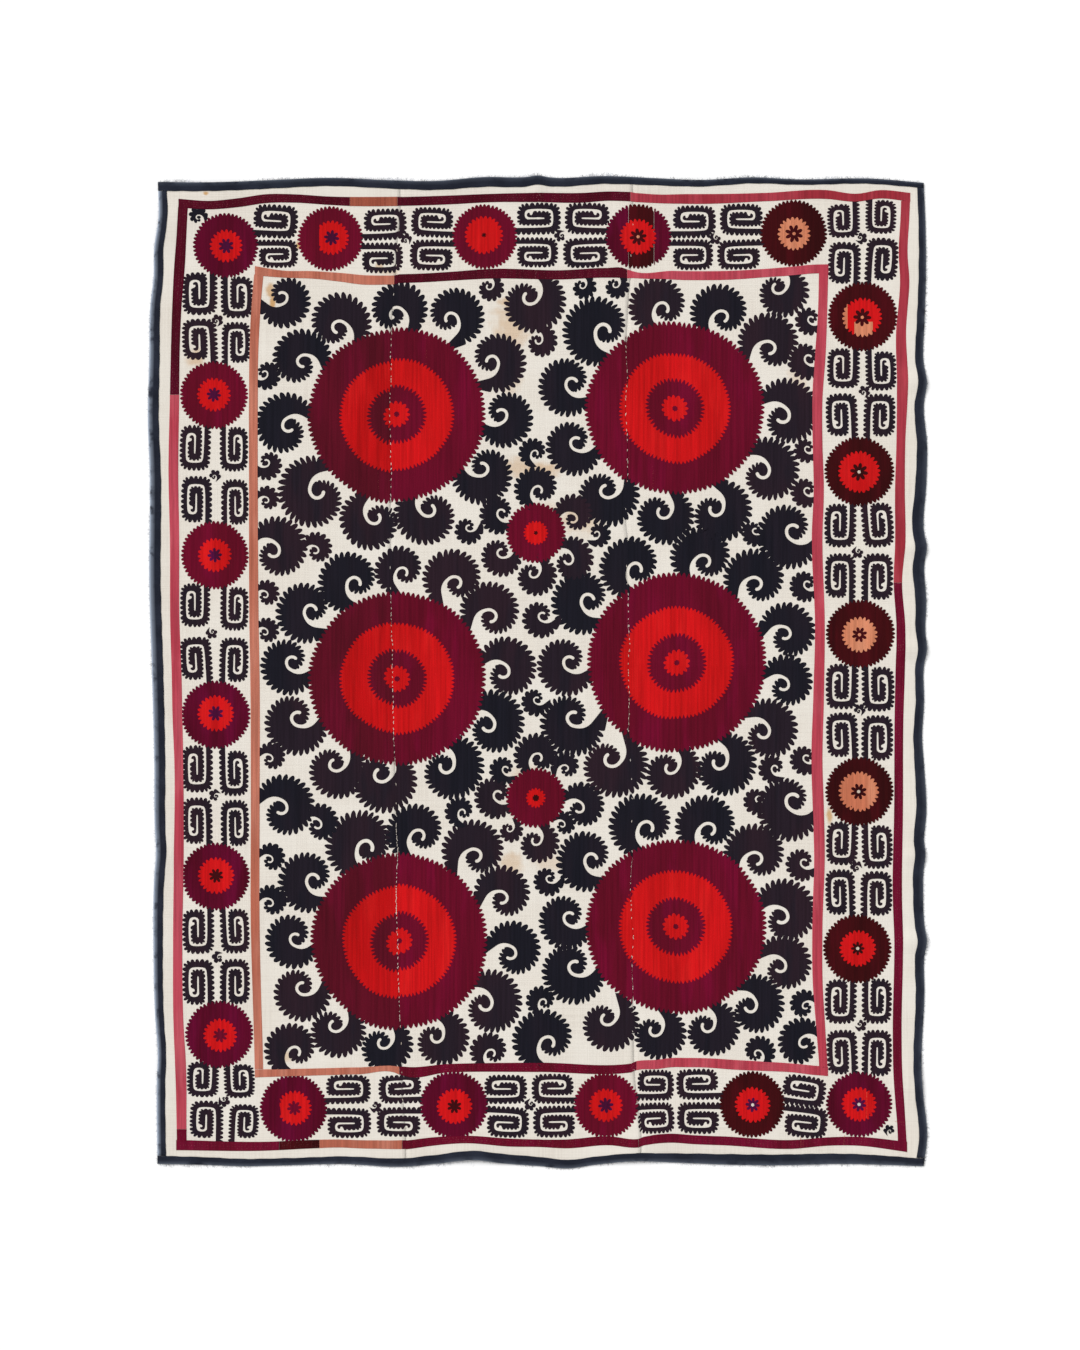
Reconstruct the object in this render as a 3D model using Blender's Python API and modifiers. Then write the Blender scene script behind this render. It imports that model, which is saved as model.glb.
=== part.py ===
"""A suzani: an embroidered cotton cover of three breadths of cloth with a folded edging, lying face up.

Metres, +Z up. +Y runs to the head of the cloth, and the origin is on the floor under its middle.
"""

import bpy
import bmesh
import numpy as np
from mathutils import Vector

MM = 0.001

# The straight rectangle that the cloth was cut to, edging included.
HALF_WIDTH = 848 * MM
HALF_LENGTH = 1086 * MM

# The ground cloth with its stitching, one layer of the edging, and the air between two pieces.
CLOTH = 1.4 * MM
TAPE = 1.0 * MM
GAP = 0.35 * MM

# The uneven edges put the cloth's middle this far from the rectangle's, and the origin is under the cloth's.
OFF_CENTRE = (-2.2 * MM, 0.65 * MM)

# How far the cloth stops short of the edging's fold.
TUCK = 3.5 * MM

# How far the edging reaches in over the cloth: (place along the edge, reach), in mm.
REACH = {
    "left": [(-1086, 19), (-760, 19), (-500, 22), (800, 22), (1086, 19)],
    "right": [(-1086, 18), (-850, 18), (-330, 23), (20, 19), (200, 25), (480, 23), (700, 18), (1086, 15)],
    "top": [(-848, 20), (-300, 19), (-100, 22), (80, 16), (340, 12), (848, 11)],
    "bottom": [(-848, 18), (-560, 16), (-80, 21), (200, 18), (400, 23), (700, 22), (848, 17)],
}

# The lower layer of the edging lifts the cloth, level as far in as RIM_LEVEL, then down to the floor.
RIM_LIFT = TAPE + GAP
RIM_LEVEL = 27 * MM
RIM_EASE = 34 * MM

# Grid lines: the distance between rows and between columns, the least one, and the ones near each edge.
ROW_STEP = 54 * MM
COLUMN_STEP = 130 * MM
LEAST_STEP = 14 * MM
EDGE_LINES = (RIM_LEVEL, 43 * MM, 68 * MM, 110 * MM)

# Where each edge really runs: (place along the edge, how far it stands outside the straight rectangle), in mm.
LEFT_EDGE = [
    (-1086, -10), (-900, -9), (-850, -11), (-760, -5), (-600, -1), (-450, -3), (-400, -7), (-340, -4),
    (-200, -3), (0, 2), (200, 8), (440, 7), (560, 11), (700, 8), (820, 5), (870, -1), (940, -3), (1000, -12),
    (1086, -11),
]
RIGHT_EDGE = [
    (-1086, -1), (-1015, 7), (-940, -1), (-890, -5), (-700, 1), (-620, 1), (-590, 6), (-555, 1), (-480, -2),
    (-430, -1), (-400, 3), (-365, 0), (-310, 5), (-200, 0), (-140, -4), (-60, 0), (20, 0), (55, 6), (95, 3),
    (160, 5), (245, 1), (280, 6), (315, 0), (420, 5), (500, 7), (600, 0), (645, 6), (690, -1), (780, 1),
    (880, 4), (1000, 3), (1086, -1),
]
TOP_EDGE = [
    (-848, -8), (-720, -9), (-600, -4), (-460, 1), (-340, -4), (-240, -6), (-120, 3), (-30, 3), (-8, 6),
    (20, 2), (140, 5), (260, 0), (340, -4), (480, 2), (560, -2), (740, -1), (848, -10),
]
BOTTOM_EDGE = [
    (-848, -4), (-740, -2), (-660, 1), (-560, -1), (-440, -4), (-300, 2), (-235, -4), (-150, -13), (-80, -5),
    (0, 1), (60, 6), (120, -2), (200, -10), (300, -7), (400, -3), (500, -1), (680, -4), (848, 1),
]

# Where the breadths of cloth meet: (place up the cloth, place across it), in mm.
LEFT_SEAM = [(-1086, -298), (-900, -304), (-500, -313), (0, -320), (600, -320), (1086, -312)]
RIGHT_SEAM = [(-1086, 222), (-900, 211), (-500, 204), (0, 199), (450, 195), (1086, 203)]

# Soft folds that run in from an edge: (edge, place along it, half width, reach inwards, height), in mm.
FOLDS = [
    ("right", 645, 17, 95, 5.0),
    ("right", 280, 15, 80, 4.5),
    ("right", 55, 16, 105, 5.5),
    ("right", -400, 15, 70, 4.0),
    ("right", -590, 17, 90, 5.0),
    ("right", -905, 42, 110, 5.0),
    ("left", 985, 44, 100, 5.0),
    ("left", -400, 34, 80, 3.5),
    ("left", -865, 44, 110, 5.0),
    ("top", -715, 48, 90, 4.5),
    ("top", -8, 13, 80, 3.5),
    ("top", 345, 52, 80, 3.0),
    ("bottom", -150, 56, 130, 6.5),
    ("bottom", 205, 52, 110, 5.0),
]

COLOURS = {
    "ground": (0.80, 0.74, 0.64, 0.9),
    "edging": (0.017, 0.022, 0.035, 0.85),
}


def clear_scene():
    for thing in list(bpy.data.objects):
        bpy.data.objects.remove(thing, do_unlink=True)


def smooth_between(table, place):
    """The table's second column at a place of its first, on a smooth curve through every row, in metres."""
    rows = np.array(table, float) * MM
    knots, values = rows[:, 0], rows[:, 1]
    slopes = np.gradient(values, knots)
    place = float(np.clip(place, knots[0], knots[-1]))
    k = int(np.clip(np.searchsorted(knots, place) - 1, 0, len(knots) - 2))
    span = knots[k + 1] - knots[k]
    t = (place - knots[k]) / span
    return float(
        values[k] * (2 * t**3 - 3 * t**2 + 1)
        + slopes[k] * span * (t**3 - 2 * t**2 + t)
        + values[k + 1] * (3 * t**2 - 2 * t**3)
        + slopes[k + 1] * span * (t**3 - t**2)
    )


def ease(t):
    """0 to 1 with level ends."""
    t = min(1.0, max(0.0, t))
    return t * t * (3 - 2 * t)


def laid(x, y):
    """Where a point of the straight rectangle really lies, once the edges are as uneven as they are."""
    s = (x + HALF_WIDTH) / (2 * HALF_WIDTH)
    t = (y + HALF_LENGTH) / (2 * HALF_LENGTH)
    dx = smooth_between(RIGHT_EDGE, y) * s - smooth_between(LEFT_EDGE, y) * (1 - s)
    dy = smooth_between(TOP_EDGE, x) * t - smooth_between(BOTTOM_EDGE, x) * (1 - t)
    return x + dx - OFF_CENTRE[0], y + dy - OFF_CENTRE[1]


def inset(edge, x, y):
    """How far inside an edge of the straight rectangle a point is, and its place along that edge."""
    return {
        "left": (x + HALF_WIDTH, y),
        "right": (HALF_WIDTH - x, y),
        "top": (HALF_LENGTH - y, x),
        "bottom": (y + HALF_LENGTH, x),
    }[edge]


def fold_height(x, y):
    """How far the folds lift the cloth off the floor at a point of the straight rectangle."""
    height = 0.0
    for edge, place, half_width, reach, peak in FOLDS:
        inwards, along = inset(edge, x, y)
        across = abs(along - place * MM) / (2 * half_width * MM)
        run_out = (inwards - RIM_LEVEL) / (reach * MM - RIM_LEVEL)
        height = max(height, peak * MM * ease(1 - across) * (1 - ease(run_out)))
    return height


def rim_height(x, y):
    """How far the edging's lower layer lifts the cloth."""
    nearest = min(inset(edge, x, y)[0] for edge in ("left", "right", "top", "bottom"))
    return RIM_LIFT * (1 - ease((nearest - RIM_LEVEL) / RIM_EASE))


def grid_lines(low, high, step, wanted):
    """Rising places from low to high: the wanted ones, and more between them where they are far apart."""
    lines = [low, high]
    for line in wanted:
        if low < line < high and min(abs(line - other) for other in lines) > LEAST_STEP:
            lines.append(line)
    lines.sort()
    filled = [low]
    for line in lines[1:]:
        parts = max(1, round((line - filled[-1]) / step))
        filled += list(np.linspace(filled[-1], line, parts + 1)[1:])
    return [float(line) for line in filled]


def fold_lines(edges):
    """The places along these edges that a fold needs a grid line at: its crest and its two feet."""
    wanted = [(place + side * 1.3 * half_width) * MM
              for side in (0, -1, 1)
              for edge, place, half_width, _, _ in FOLDS
              if edge in edges]
    return wanted


def row_lines():
    """The rows of the whole cloth. Every piece that lies over another takes its rows from these."""
    near = [side * (HALF_LENGTH - line) for side in (-1, 1) for line in EDGE_LINES[:2]]
    return grid_lines(-HALF_LENGTH, HALF_LENGTH, ROW_STEP, near + fold_lines(("left", "right")))


def cut_lines(lines, low, high):
    """The lines between low and high, with low and high as the first and last of them."""
    inside = [line for line in lines if low + 0.3 * LEAST_STEP < line < high - 0.3 * LEAST_STEP]
    return [low] + inside + [high]


def new_material(name):
    red, green, blue, roughness = COLOURS[name]
    material = bpy.data.materials.new(name)
    material.use_nodes = True
    shader = material.node_tree.nodes["Principled BSDF"]
    shader.inputs["Base Color"].default_value = (red, green, blue, 1)
    shader.inputs["Roughness"].default_value = roughness
    shader.inputs["Metallic"].default_value = 0
    return material


def sheet_from_grid(name, columns, rows, place, thickness, offset, material, collection):
    """A cloth sheet: a grid whose points go where place(column, row) says, made thick by Solidify."""
    mesh = bpy.data.meshes.new(name)
    bm = bmesh.new()
    across, up = len(columns) - 1, len(rows) - 1
    bmesh.ops.create_grid(bm, x_segments=across, y_segments=up, size=0.5)
    for vertex in bm.verts:
        column = columns[round((vertex.co.x + 0.5) * across)]
        row = rows[round((vertex.co.y + 0.5) * up)]
        vertex.co = Vector(place(column, row))
    bm.to_mesh(mesh)
    bm.free()
    mesh.materials.append(material)
    mesh.shade_smooth()
    sheet = bpy.data.objects.new(name, mesh)
    collection.objects.link(sheet)
    solidify = sheet.modifiers.new("thickness", "SOLIDIFY")
    solidify.thickness = thickness
    solidify.offset = offset
    solidify.use_even_offset = True
    return sheet


def seam_side(seam, side):
    """The edge of a breadth along a seam, as a function of the place up the cloth; side is -1 or 1."""
    return lambda y: smooth_between(seam, y) + side * GAP / 2


def breadths():
    """The three breadths: name, left side, right side, and columns as shares of the way between them."""
    left_end = -HALF_WIDTH + TUCK
    right_end = HALF_WIDTH - TUCK
    left_seam = smooth_between(LEFT_SEAM, 0)
    right_seam = smooth_between(RIGHT_SEAM, 0)
    near = [side * (HALF_WIDTH - line) for side in (-1, 1) for line in EDGE_LINES]
    wanted = near + fold_lines(("top", "bottom"))

    def shares(low, high):
        return [(line - low) / (high - low) for line in grid_lines(low, high, COLUMN_STEP, wanted)]

    return [
        ("breadth_left", lambda y: left_end, seam_side(LEFT_SEAM, -1), shares(left_end, left_seam)),
        ("breadth_middle", seam_side(LEFT_SEAM, 1), seam_side(RIGHT_SEAM, -1), shares(left_seam, right_seam)),
        ("breadth_right", seam_side(RIGHT_SEAM, 1), lambda y: right_end, shares(right_seam, right_end)),
    ]


def column_lines(y):
    """Where the columns of all three breadths cross the edge at y: the edging bends at the same places."""
    lines = []
    for _, left, right, columns in breadths():
        lines += [left(y) + (right(y) - left(y)) * share for share in columns[:-1]]
    return lines


def make_breadths(material, collection):
    rows = cut_lines(row_lines(), -HALF_LENGTH + TUCK, HALF_LENGTH - TUCK)
    for name, left, right, columns in breadths():

        def place(share, y):
            x = left(y) + (right(y) - left(y)) * share
            real_x, real_y = laid(x, y)
            return real_x, real_y, fold_height(x, y) + rim_height(x, y)

        sheet_from_grid(name, columns, rows, place, CLOTH, 1, material, collection)


def edging(edge, lines, material, collection):
    """A strip of the edging, folded over the cloth along one edge of it."""
    top = 2 * TAPE + 2 * GAP + CLOTH
    # How far in, as a share of the reach, and how high: upper hem, fold, lower hem.
    profile = [(1, top), (0, top), (0, 0), (1, 0)]
    if edge in ("left", "top"):
        profile.reverse()

    def place(point, along):
        share, height = point
        inwards = share * smooth_between(REACH[edge], along)
        x, y = {
            "left": (-HALF_WIDTH + inwards, along),
            "right": (HALF_WIDTH - inwards, along),
            "top": (along, HALF_LENGTH - inwards),
            "bottom": (along, -HALF_LENGTH + inwards),
        }[edge]
        real_x, real_y = laid(x, y)
        return real_x, real_y, fold_height(x, y) + height

    sheet_from_grid("edging_" + edge, profile, lines, place, TAPE, -1, material, collection)


def make_edging(material, collection):
    """The strips at head and foot run the whole width, and those at the sides lie between them."""
    for edge, side in (("left", -1), ("right", 1)):
        corner = (side * HALF_WIDTH, side * (HALF_WIDTH - RIM_LEVEL))
        low = -HALF_LENGTH + max(smooth_between(REACH["bottom"], x) for x in corner) + GAP
        high = HALF_LENGTH - max(smooth_between(REACH["top"], x) for x in corner) - GAP
        edging(edge, cut_lines(row_lines(), low, high), material, collection)
    for edge, end in (("top", HALF_LENGTH), ("bottom", -HALF_LENGTH)):
        edging(edge, cut_lines(column_lines(end), -HALF_WIDTH, HALF_WIDTH), material, collection)


def main():
    clear_scene()
    collection = bpy.data.collections.new("suzani")
    bpy.context.scene.collection.children.link(collection)
    make_breadths(new_material("ground"), collection)
    make_edging(new_material("edging"), collection)


main()
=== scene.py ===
# %% [markdown]
# # A suzani, laid out flat
# A suzani is a large embroidered cover. This one is cotton cloth in three breadths, closely worked with
# silk and cotton thread: six toothed medallions in a field of curled leaves, a border of rosettes between
# combs, two stitched bands, and a dark edging folded round the cloth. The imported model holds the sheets
# at their real size and place. This lesson dresses them: it makes the cloth soft, then lays every worked
# motif on it as raised stitching.

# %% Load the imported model
import math

import bpy
import numpy as np
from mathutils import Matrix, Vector
from mathutils.geometry import delaunay_2d_cdt


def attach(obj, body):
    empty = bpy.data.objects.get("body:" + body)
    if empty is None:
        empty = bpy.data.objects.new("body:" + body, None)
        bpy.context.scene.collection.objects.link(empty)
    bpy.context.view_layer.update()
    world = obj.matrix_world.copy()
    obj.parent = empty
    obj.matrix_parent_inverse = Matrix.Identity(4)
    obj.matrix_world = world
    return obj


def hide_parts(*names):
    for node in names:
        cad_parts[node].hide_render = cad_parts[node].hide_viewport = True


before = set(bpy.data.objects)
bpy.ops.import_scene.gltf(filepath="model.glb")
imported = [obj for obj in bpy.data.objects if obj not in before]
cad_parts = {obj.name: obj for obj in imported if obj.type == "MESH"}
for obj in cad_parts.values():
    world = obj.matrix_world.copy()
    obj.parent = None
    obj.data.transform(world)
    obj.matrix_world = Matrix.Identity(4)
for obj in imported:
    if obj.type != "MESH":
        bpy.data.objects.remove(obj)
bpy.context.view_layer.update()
MM = 0.001
print("nodes:", sorted(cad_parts))

# %% [markdown]
# ## Camera
# The cover was photographed from straight above its middle. A long lens far away gives nearly parallel
# lines, as there: the picture is 1350 pixels high and each pixel is 2.2 mm of cloth, so the picture
# covers 2.97 m from top to bottom.

# %% Point a camera straight down
PICTURE_HEIGHT = 2.97
LENS = 100.0
SENSOR = 36.0
PICTURE_MIDDLE = (5.5 * MM, -7.25 * MM)

camera_data = bpy.data.cameras.new("camera")
camera_data.sensor_fit = "VERTICAL"
camera_data.sensor_height = SENSOR
camera_data.lens = LENS
camera_data.clip_end = 50
camera = bpy.data.objects.new("camera", camera_data)
camera.location = (*PICTURE_MIDDLE, PICTURE_HEIGHT * LENS / SENSOR)
bpy.context.scene.collection.objects.link(camera)
bpy.context.scene.camera = camera
print("camera height:", round(camera.location.z, 3), "m")

# %% [markdown]
# ## Floor and light
# The floor is a plain white sheet, so bright that it comes out white. The light is soft: a white sky for
# most of it, and one broad far lamp to the upper left, low enough to show the small puckers of stitched
# cloth. A far lamp lights the whole cover evenly, where a near one would leave its far corner dark.

# %% A white floor under soft light
FLOOR_SIZE = 12.0
SKY = 0.66
LAMP_STRENGTH = 2.3
LAMP_WIDTH = math.radians(38)
LAMP_PLACE = (-3.2, 3.6, 4.4)

floor_mesh = bpy.data.meshes.new("floor")
half_floor = FLOOR_SIZE / 2
floor_mesh.from_pydata(
    [(-half_floor, -half_floor, 0), (half_floor, -half_floor, 0), (half_floor, half_floor, 0),
    (-half_floor, half_floor, 0)],
    [],
    [(0, 1, 2, 3)],
)
floor = bpy.data.objects.new("floor", floor_mesh)
bpy.context.scene.collection.objects.link(floor)
floor_finish = bpy.data.materials.new("floor")
floor_finish.use_nodes = True
floor_shader = floor_finish.node_tree.nodes["Principled BSDF"]
floor_shader.inputs["Base Color"].default_value = (0.93, 0.93, 0.93, 1)
floor_shader.inputs["Roughness"].default_value = 1.0
floor_shader.inputs["Specular IOR Level"].default_value = 0.0
floor_mesh.materials.append(floor_finish)

world = bpy.data.worlds.new("sky")
bpy.context.scene.world = world
world.use_nodes = True
world.node_tree.nodes["Background"].inputs["Color"].default_value = (1, 1, 1, 1)
world.node_tree.nodes["Background"].inputs["Strength"].default_value = SKY

lamp_data = bpy.data.lights.new("lamp", "SUN")
lamp_data.energy = LAMP_STRENGTH
lamp_data.angle = LAMP_WIDTH
lamp = bpy.data.objects.new("lamp", lamp_data)
lamp.location = LAMP_PLACE
lamp.rotation_euler = (-lamp.location).to_track_quat("-Z", "Y").to_euler()
bpy.context.scene.collection.objects.link(lamp)

bpy.context.scene.view_settings.view_transform = "Standard"
bpy.context.scene.view_settings.look = "None"
print("sky", SKY, "lamp", LAMP_STRENGTH)

# %% [markdown]
# ## The shape of the cloth as it lies
# The cloth was cut as a rectangle, but its edges wander by up to a centimetre. The model keeps each edge
# as a short table of how far it stands outside the rectangle, and a smooth curve runs through the rows.
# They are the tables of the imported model, save that the edging's reach along the head was read more
# closely here. All tables are in millimetres.

# %% Tables of the edges, the seams and the folds
HALF_WIDTH = 848 * MM
HALF_LENGTH = 1086 * MM
CLOTH = 1.4 * MM
TAPE = 1.0 * MM
GAP = 0.35 * MM
OFF_CENTRE = (-2.2 * MM, 0.65 * MM)
TUCK = 3.5 * MM
RIM_LIFT = TAPE + GAP
RIM_LEVEL = 27 * MM
RIM_EASE = 34 * MM

# Columns: place along the edge, how far the edging reaches in.
REACH = {
    "left": [(-1086, 19), (-760, 19), (-500, 22), (800, 22), (1086, 19)],
    "right": [(-1086, 18), (-850, 18), (-330, 23), (20, 19), (200, 25), (480, 23), (700, 18), (1086, 15)],
    "top": [(-848, 20), (-300, 19), (-100, 22), (80, 18.5), (340, 15), (620, 12), (848, 12)],
    "bottom": [(-848, 18), (-560, 16), (-80, 21), (200, 18), (400, 23), (700, 22), (848, 17)],
}

# Columns: place along the edge, how far it stands outside the rectangle.
LEFT_EDGE = [
    (-1086, -10), (-900, -9), (-850, -11), (-760, -5), (-600, -1), (-450, -3), (-400, -7), (-340, -4),
    (-200, -3), (0, 2), (200, 8), (440, 7), (560, 11), (700, 8), (820, 5), (870, -1), (940, -3), (1000, -12),
    (1086, -11),
]
RIGHT_EDGE = [
    (-1086, -1), (-1015, 7), (-940, -1), (-890, -5), (-700, 1), (-620, 1), (-590, 6), (-555, 1), (-480, -2),
    (-430, -1), (-400, 3), (-365, 0), (-310, 5), (-200, 0), (-140, -4), (-60, 0), (20, 0), (55, 6), (95, 3),
    (160, 5), (245, 1), (280, 6), (315, 0), (420, 5), (500, 7), (600, 0), (645, 6), (690, -1), (780, 1),
    (880, 4), (1000, 3), (1086, -1),
]
TOP_EDGE = [
    (-848, -8), (-720, -9), (-600, -4), (-460, 1), (-340, -4), (-240, -6), (-120, 3), (-30, 3), (-8, 6),
    (20, 2), (140, 5), (260, 0), (340, -4), (480, 2), (560, -2), (740, -1), (848, -10),
]
BOTTOM_EDGE = [
    (-848, -4), (-740, -2), (-660, 1), (-560, -1), (-440, -4), (-300, 2), (-235, -4), (-150, -13), (-80, -5),
    (0, 1), (60, 6), (120, -2), (200, -10), (300, -7), (400, -3), (500, -1), (680, -4), (848, 1),
]

# Columns: place up the cloth, place across it.
LEFT_SEAM = [(-1086, -298), (-900, -304), (-500, -313), (0, -320), (600, -320), (1086, -312)]
RIGHT_SEAM = [(-1086, 222), (-900, 211), (-500, 204), (0, 199), (450, 195), (1086, 203)]

# Columns: edge, place along it, half width, reach inwards, height.
FOLDS = [
    ("right", 645, 17, 95, 5.0),
    ("right", 280, 15, 80, 4.5),
    ("right", 55, 16, 105, 5.5),
    ("right", -400, 15, 70, 4.0),
    ("right", -590, 17, 90, 5.0),
    ("right", -905, 42, 110, 5.0),
    ("left", 985, 44, 100, 5.0),
    ("left", -400, 34, 80, 3.5),
    ("left", -865, 44, 110, 5.0),
    ("top", -715, 48, 90, 4.5),
    ("top", -8, 13, 80, 3.5),
    ("top", 345, 52, 80, 3.0),
    ("bottom", -150, 56, 130, 6.5),
    ("bottom", 205, 52, 110, 5.0),
]
print(len(FOLDS), "folds run in from the edges")

# %% [markdown]
# A table becomes a curve with the same rule everywhere: a cubic piece between two rows, with the slope at
# each row taken from its neighbours. Working on whole arrays of places at once keeps the later steps
# quick.

# %% Smooth curves through the tables


def smooth_between(table, places):
    """The table's second column at places of its first, on a smooth curve through every row, in metres."""
    rows = np.array(table, float) * MM
    knots, values = rows[:, 0], rows[:, 1]
    slopes = np.gradient(values, knots)
    places = np.clip(places, knots[0], knots[-1])
    k = np.clip(np.searchsorted(knots, places) - 1, 0, len(knots) - 2)
    span = knots[k + 1] - knots[k]
    t = (places - knots[k]) / span
    return (
        values[k] * (2 * t**3 - 3 * t**2 + 1)
        + slopes[k] * span * (t**3 - 2 * t**2 + t)
        + values[k + 1] * (3 * t**2 - 2 * t**3)
        + slopes[k + 1] * span * (t**3 - t**2)
    )


def ease(t):
    """0 to 1 with level ends."""
    t = np.clip(t, 0.0, 1.0)
    return t * t * (3 - 2 * t)


def wander(x, y):
    """How far the uneven edges move a point of the straight rectangle."""
    s = (x + HALF_WIDTH) / (2 * HALF_WIDTH)
    t = (y + HALF_LENGTH) / (2 * HALF_LENGTH)
    dx = smooth_between(RIGHT_EDGE, y) * s - smooth_between(LEFT_EDGE, y) * (1 - s)
    dy = smooth_between(TOP_EDGE, x) * t - smooth_between(BOTTOM_EDGE, x) * (1 - t)
    return dx - OFF_CENTRE[0], dy - OFF_CENTRE[1]


def laid(x, y):
    """Where a point of the straight rectangle really lies."""
    dx, dy = wander(x, y)
    return x + dx, y + dy


def straightened(real_x, real_y):
    """The point of the straight rectangle that lies at a real place, found by going back twice."""
    x, y = real_x, real_y
    for _ in range(3):
        dx, dy = wander(x, y)
        x, y = real_x - dx, real_y - dy
    return x, y


print("a corner lies at", [round(float(v), 4) for v in laid(np.array(HALF_WIDTH), np.array(HALF_LENGTH))])

# %% [markdown]
# ## How high the cloth lies
# A cover this size never lies dead flat. Folds run in from its edges, the edging's lower layer lifts its
# rim, it was folded in four for storing, which leaves two faint creases, and dense stitching draws the
# cotton into low puckers between the motifs. All of it is a sum of small smooth heights, so cloth and
# stitching can both ask for it.

# %% Heights of folds, rim, creases and puckers
UNDULATIONS = 9
PUCKERS = 14
UNDULATION_HEIGHT = 0.55 * MM
PUCKER_HEIGHT = 0.22 * MM
SEAM_RIDGE = 0.14 * MM
# Columns: 1 if it runs up the cloth or 0 if across, place, from, to, half width, height.
CREASES = [
    (1, -8, -1060, 1060, 9, 0.7),
    (0, 13, -820, 820, 10, 0.5),
    (1, 417, 400, 535, 6, 1.0),
    (1, 682, -330, -190, 6, 0.6),
    (1, 724, -1000, -900, 6, 0.6),
]


def inset(edge, x, y):
    """How far inside an edge of the straight rectangle a point is, and its place along that edge."""
    return {
        "left": (x + HALF_WIDTH, y),
        "right": (HALF_WIDTH - x, y),
        "top": (HALF_LENGTH - y, x),
        "bottom": (y + HALF_LENGTH, x),
    }[edge]


def nearest_edge(x, y):
    """How far the nearest edge of the straight rectangle is."""
    return np.minimum.reduce([inset(edge, x, y)[0] for edge in ("left", "right", "top", "bottom")])


def fold_height(x, y):
    """How far the folds lift the cloth off the floor."""
    height = np.zeros_like(x)
    for edge, place, half_width, reach, peak in FOLDS:
        inwards, along = inset(edge, x, y)
        across = np.abs(along - place * MM) / (2 * half_width * MM)
        run_out = (inwards - RIM_LEVEL) / (reach * MM - RIM_LEVEL)
        height = np.maximum(height, peak * MM * ease(1 - across) * (1 - ease(run_out)))
    return height


def waves(x, y, count, longest, shortest, seed):
    """A sum of seeded waves that lie in every direction, between 0 and 1."""
    dice = np.random.default_rng(seed)
    total = np.zeros_like(x)
    for k in range(count):
        length = longest * (shortest / longest) ** (k / (count - 1))
        turn = dice.uniform(0, math.pi)
        start = dice.uniform(0, 2 * math.pi)
        across = (x * math.cos(turn) + y * math.sin(turn)) / length
        bend = 0.35 * np.sin((y * math.cos(turn) - x * math.sin(turn)) / length * 0.7 + start)
        total += np.sin(2 * math.pi * (across + bend) + start)
    return 0.5 + 0.5 * total / math.sqrt(2 * count)


def crumple_height(x, y):
    """Undulations, puckers and storage creases, which fade out towards the rim."""
    height = UNDULATION_HEIGHT * waves(x, y, UNDULATIONS, 0.48, 0.13, seed=4)
    height += PUCKER_HEIGHT * waves(x, y, PUCKERS, 0.10, 0.034, seed=9)
    for upright, place, start, stop, half_width, peak in CREASES:
        across, along = (x, y) if upright else (y, x)
        ridge = ease(1 - np.abs(across - place * MM) / (half_width * MM))
        inside = ease((along - start * MM) / 0.03) * ease((stop * MM - along) / 0.03)
        height += peak * MM * ridge * inside
    for seam in (LEFT_SEAM, RIGHT_SEAM):
        away = np.abs(x - smooth_between(seam, y))
        height += SEAM_RIDGE * ease(1 - np.abs(away - 3.5 * MM) / (5 * MM))
    return np.maximum(height, 0) * ease((nearest_edge(x, y) - RIM_LEVEL) / (40 * MM))


def lie(x, y):
    """The height of the cloth's underside at a point of the straight rectangle."""
    rim = RIM_LIFT * (1 - ease((nearest_edge(x, y) - RIM_LEVEL) / RIM_EASE))
    return fold_height(x, y) + rim + crumple_height(x, y)


def top_of_cloth(real_x, real_y):
    """The height of the cloth's upper side at real places."""
    x, y = straightened(real_x, real_y)
    return lie(x, y) + CLOTH


sample = np.linspace(-0.8, 0.8, 200)
print("cloth lies up to", round(float(lie(sample, sample).max()) / MM, 2), "mm off the floor along a diagonal")

# %% [markdown]
# ## A kit for finishes
# Every finish here is thread of some kind, so they share the same few nodes: noise for the uneven dye,
# waves for the run of the threads, and a bump for their relief. The helper below adds a node, sets its
# plain values and joins its inputs, which keeps each finish down to a few readable lines. Colours are
# written as the eye sees them, from 0 to 255.

# %% Helpers for materials
LIGHT_ON_CLOTH = 1.0


def colour(red, green, blue):
    """A colour as seen, as the shader wants it."""
    seen = np.array([red, green, blue]) / 255
    linear = np.where(seen <= 0.04045, seen / 12.92, ((seen + 0.055) / 1.055) ** 2.4)
    return (*[float(v) / LIGHT_ON_CLOTH for v in linear], 1.0)


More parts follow.
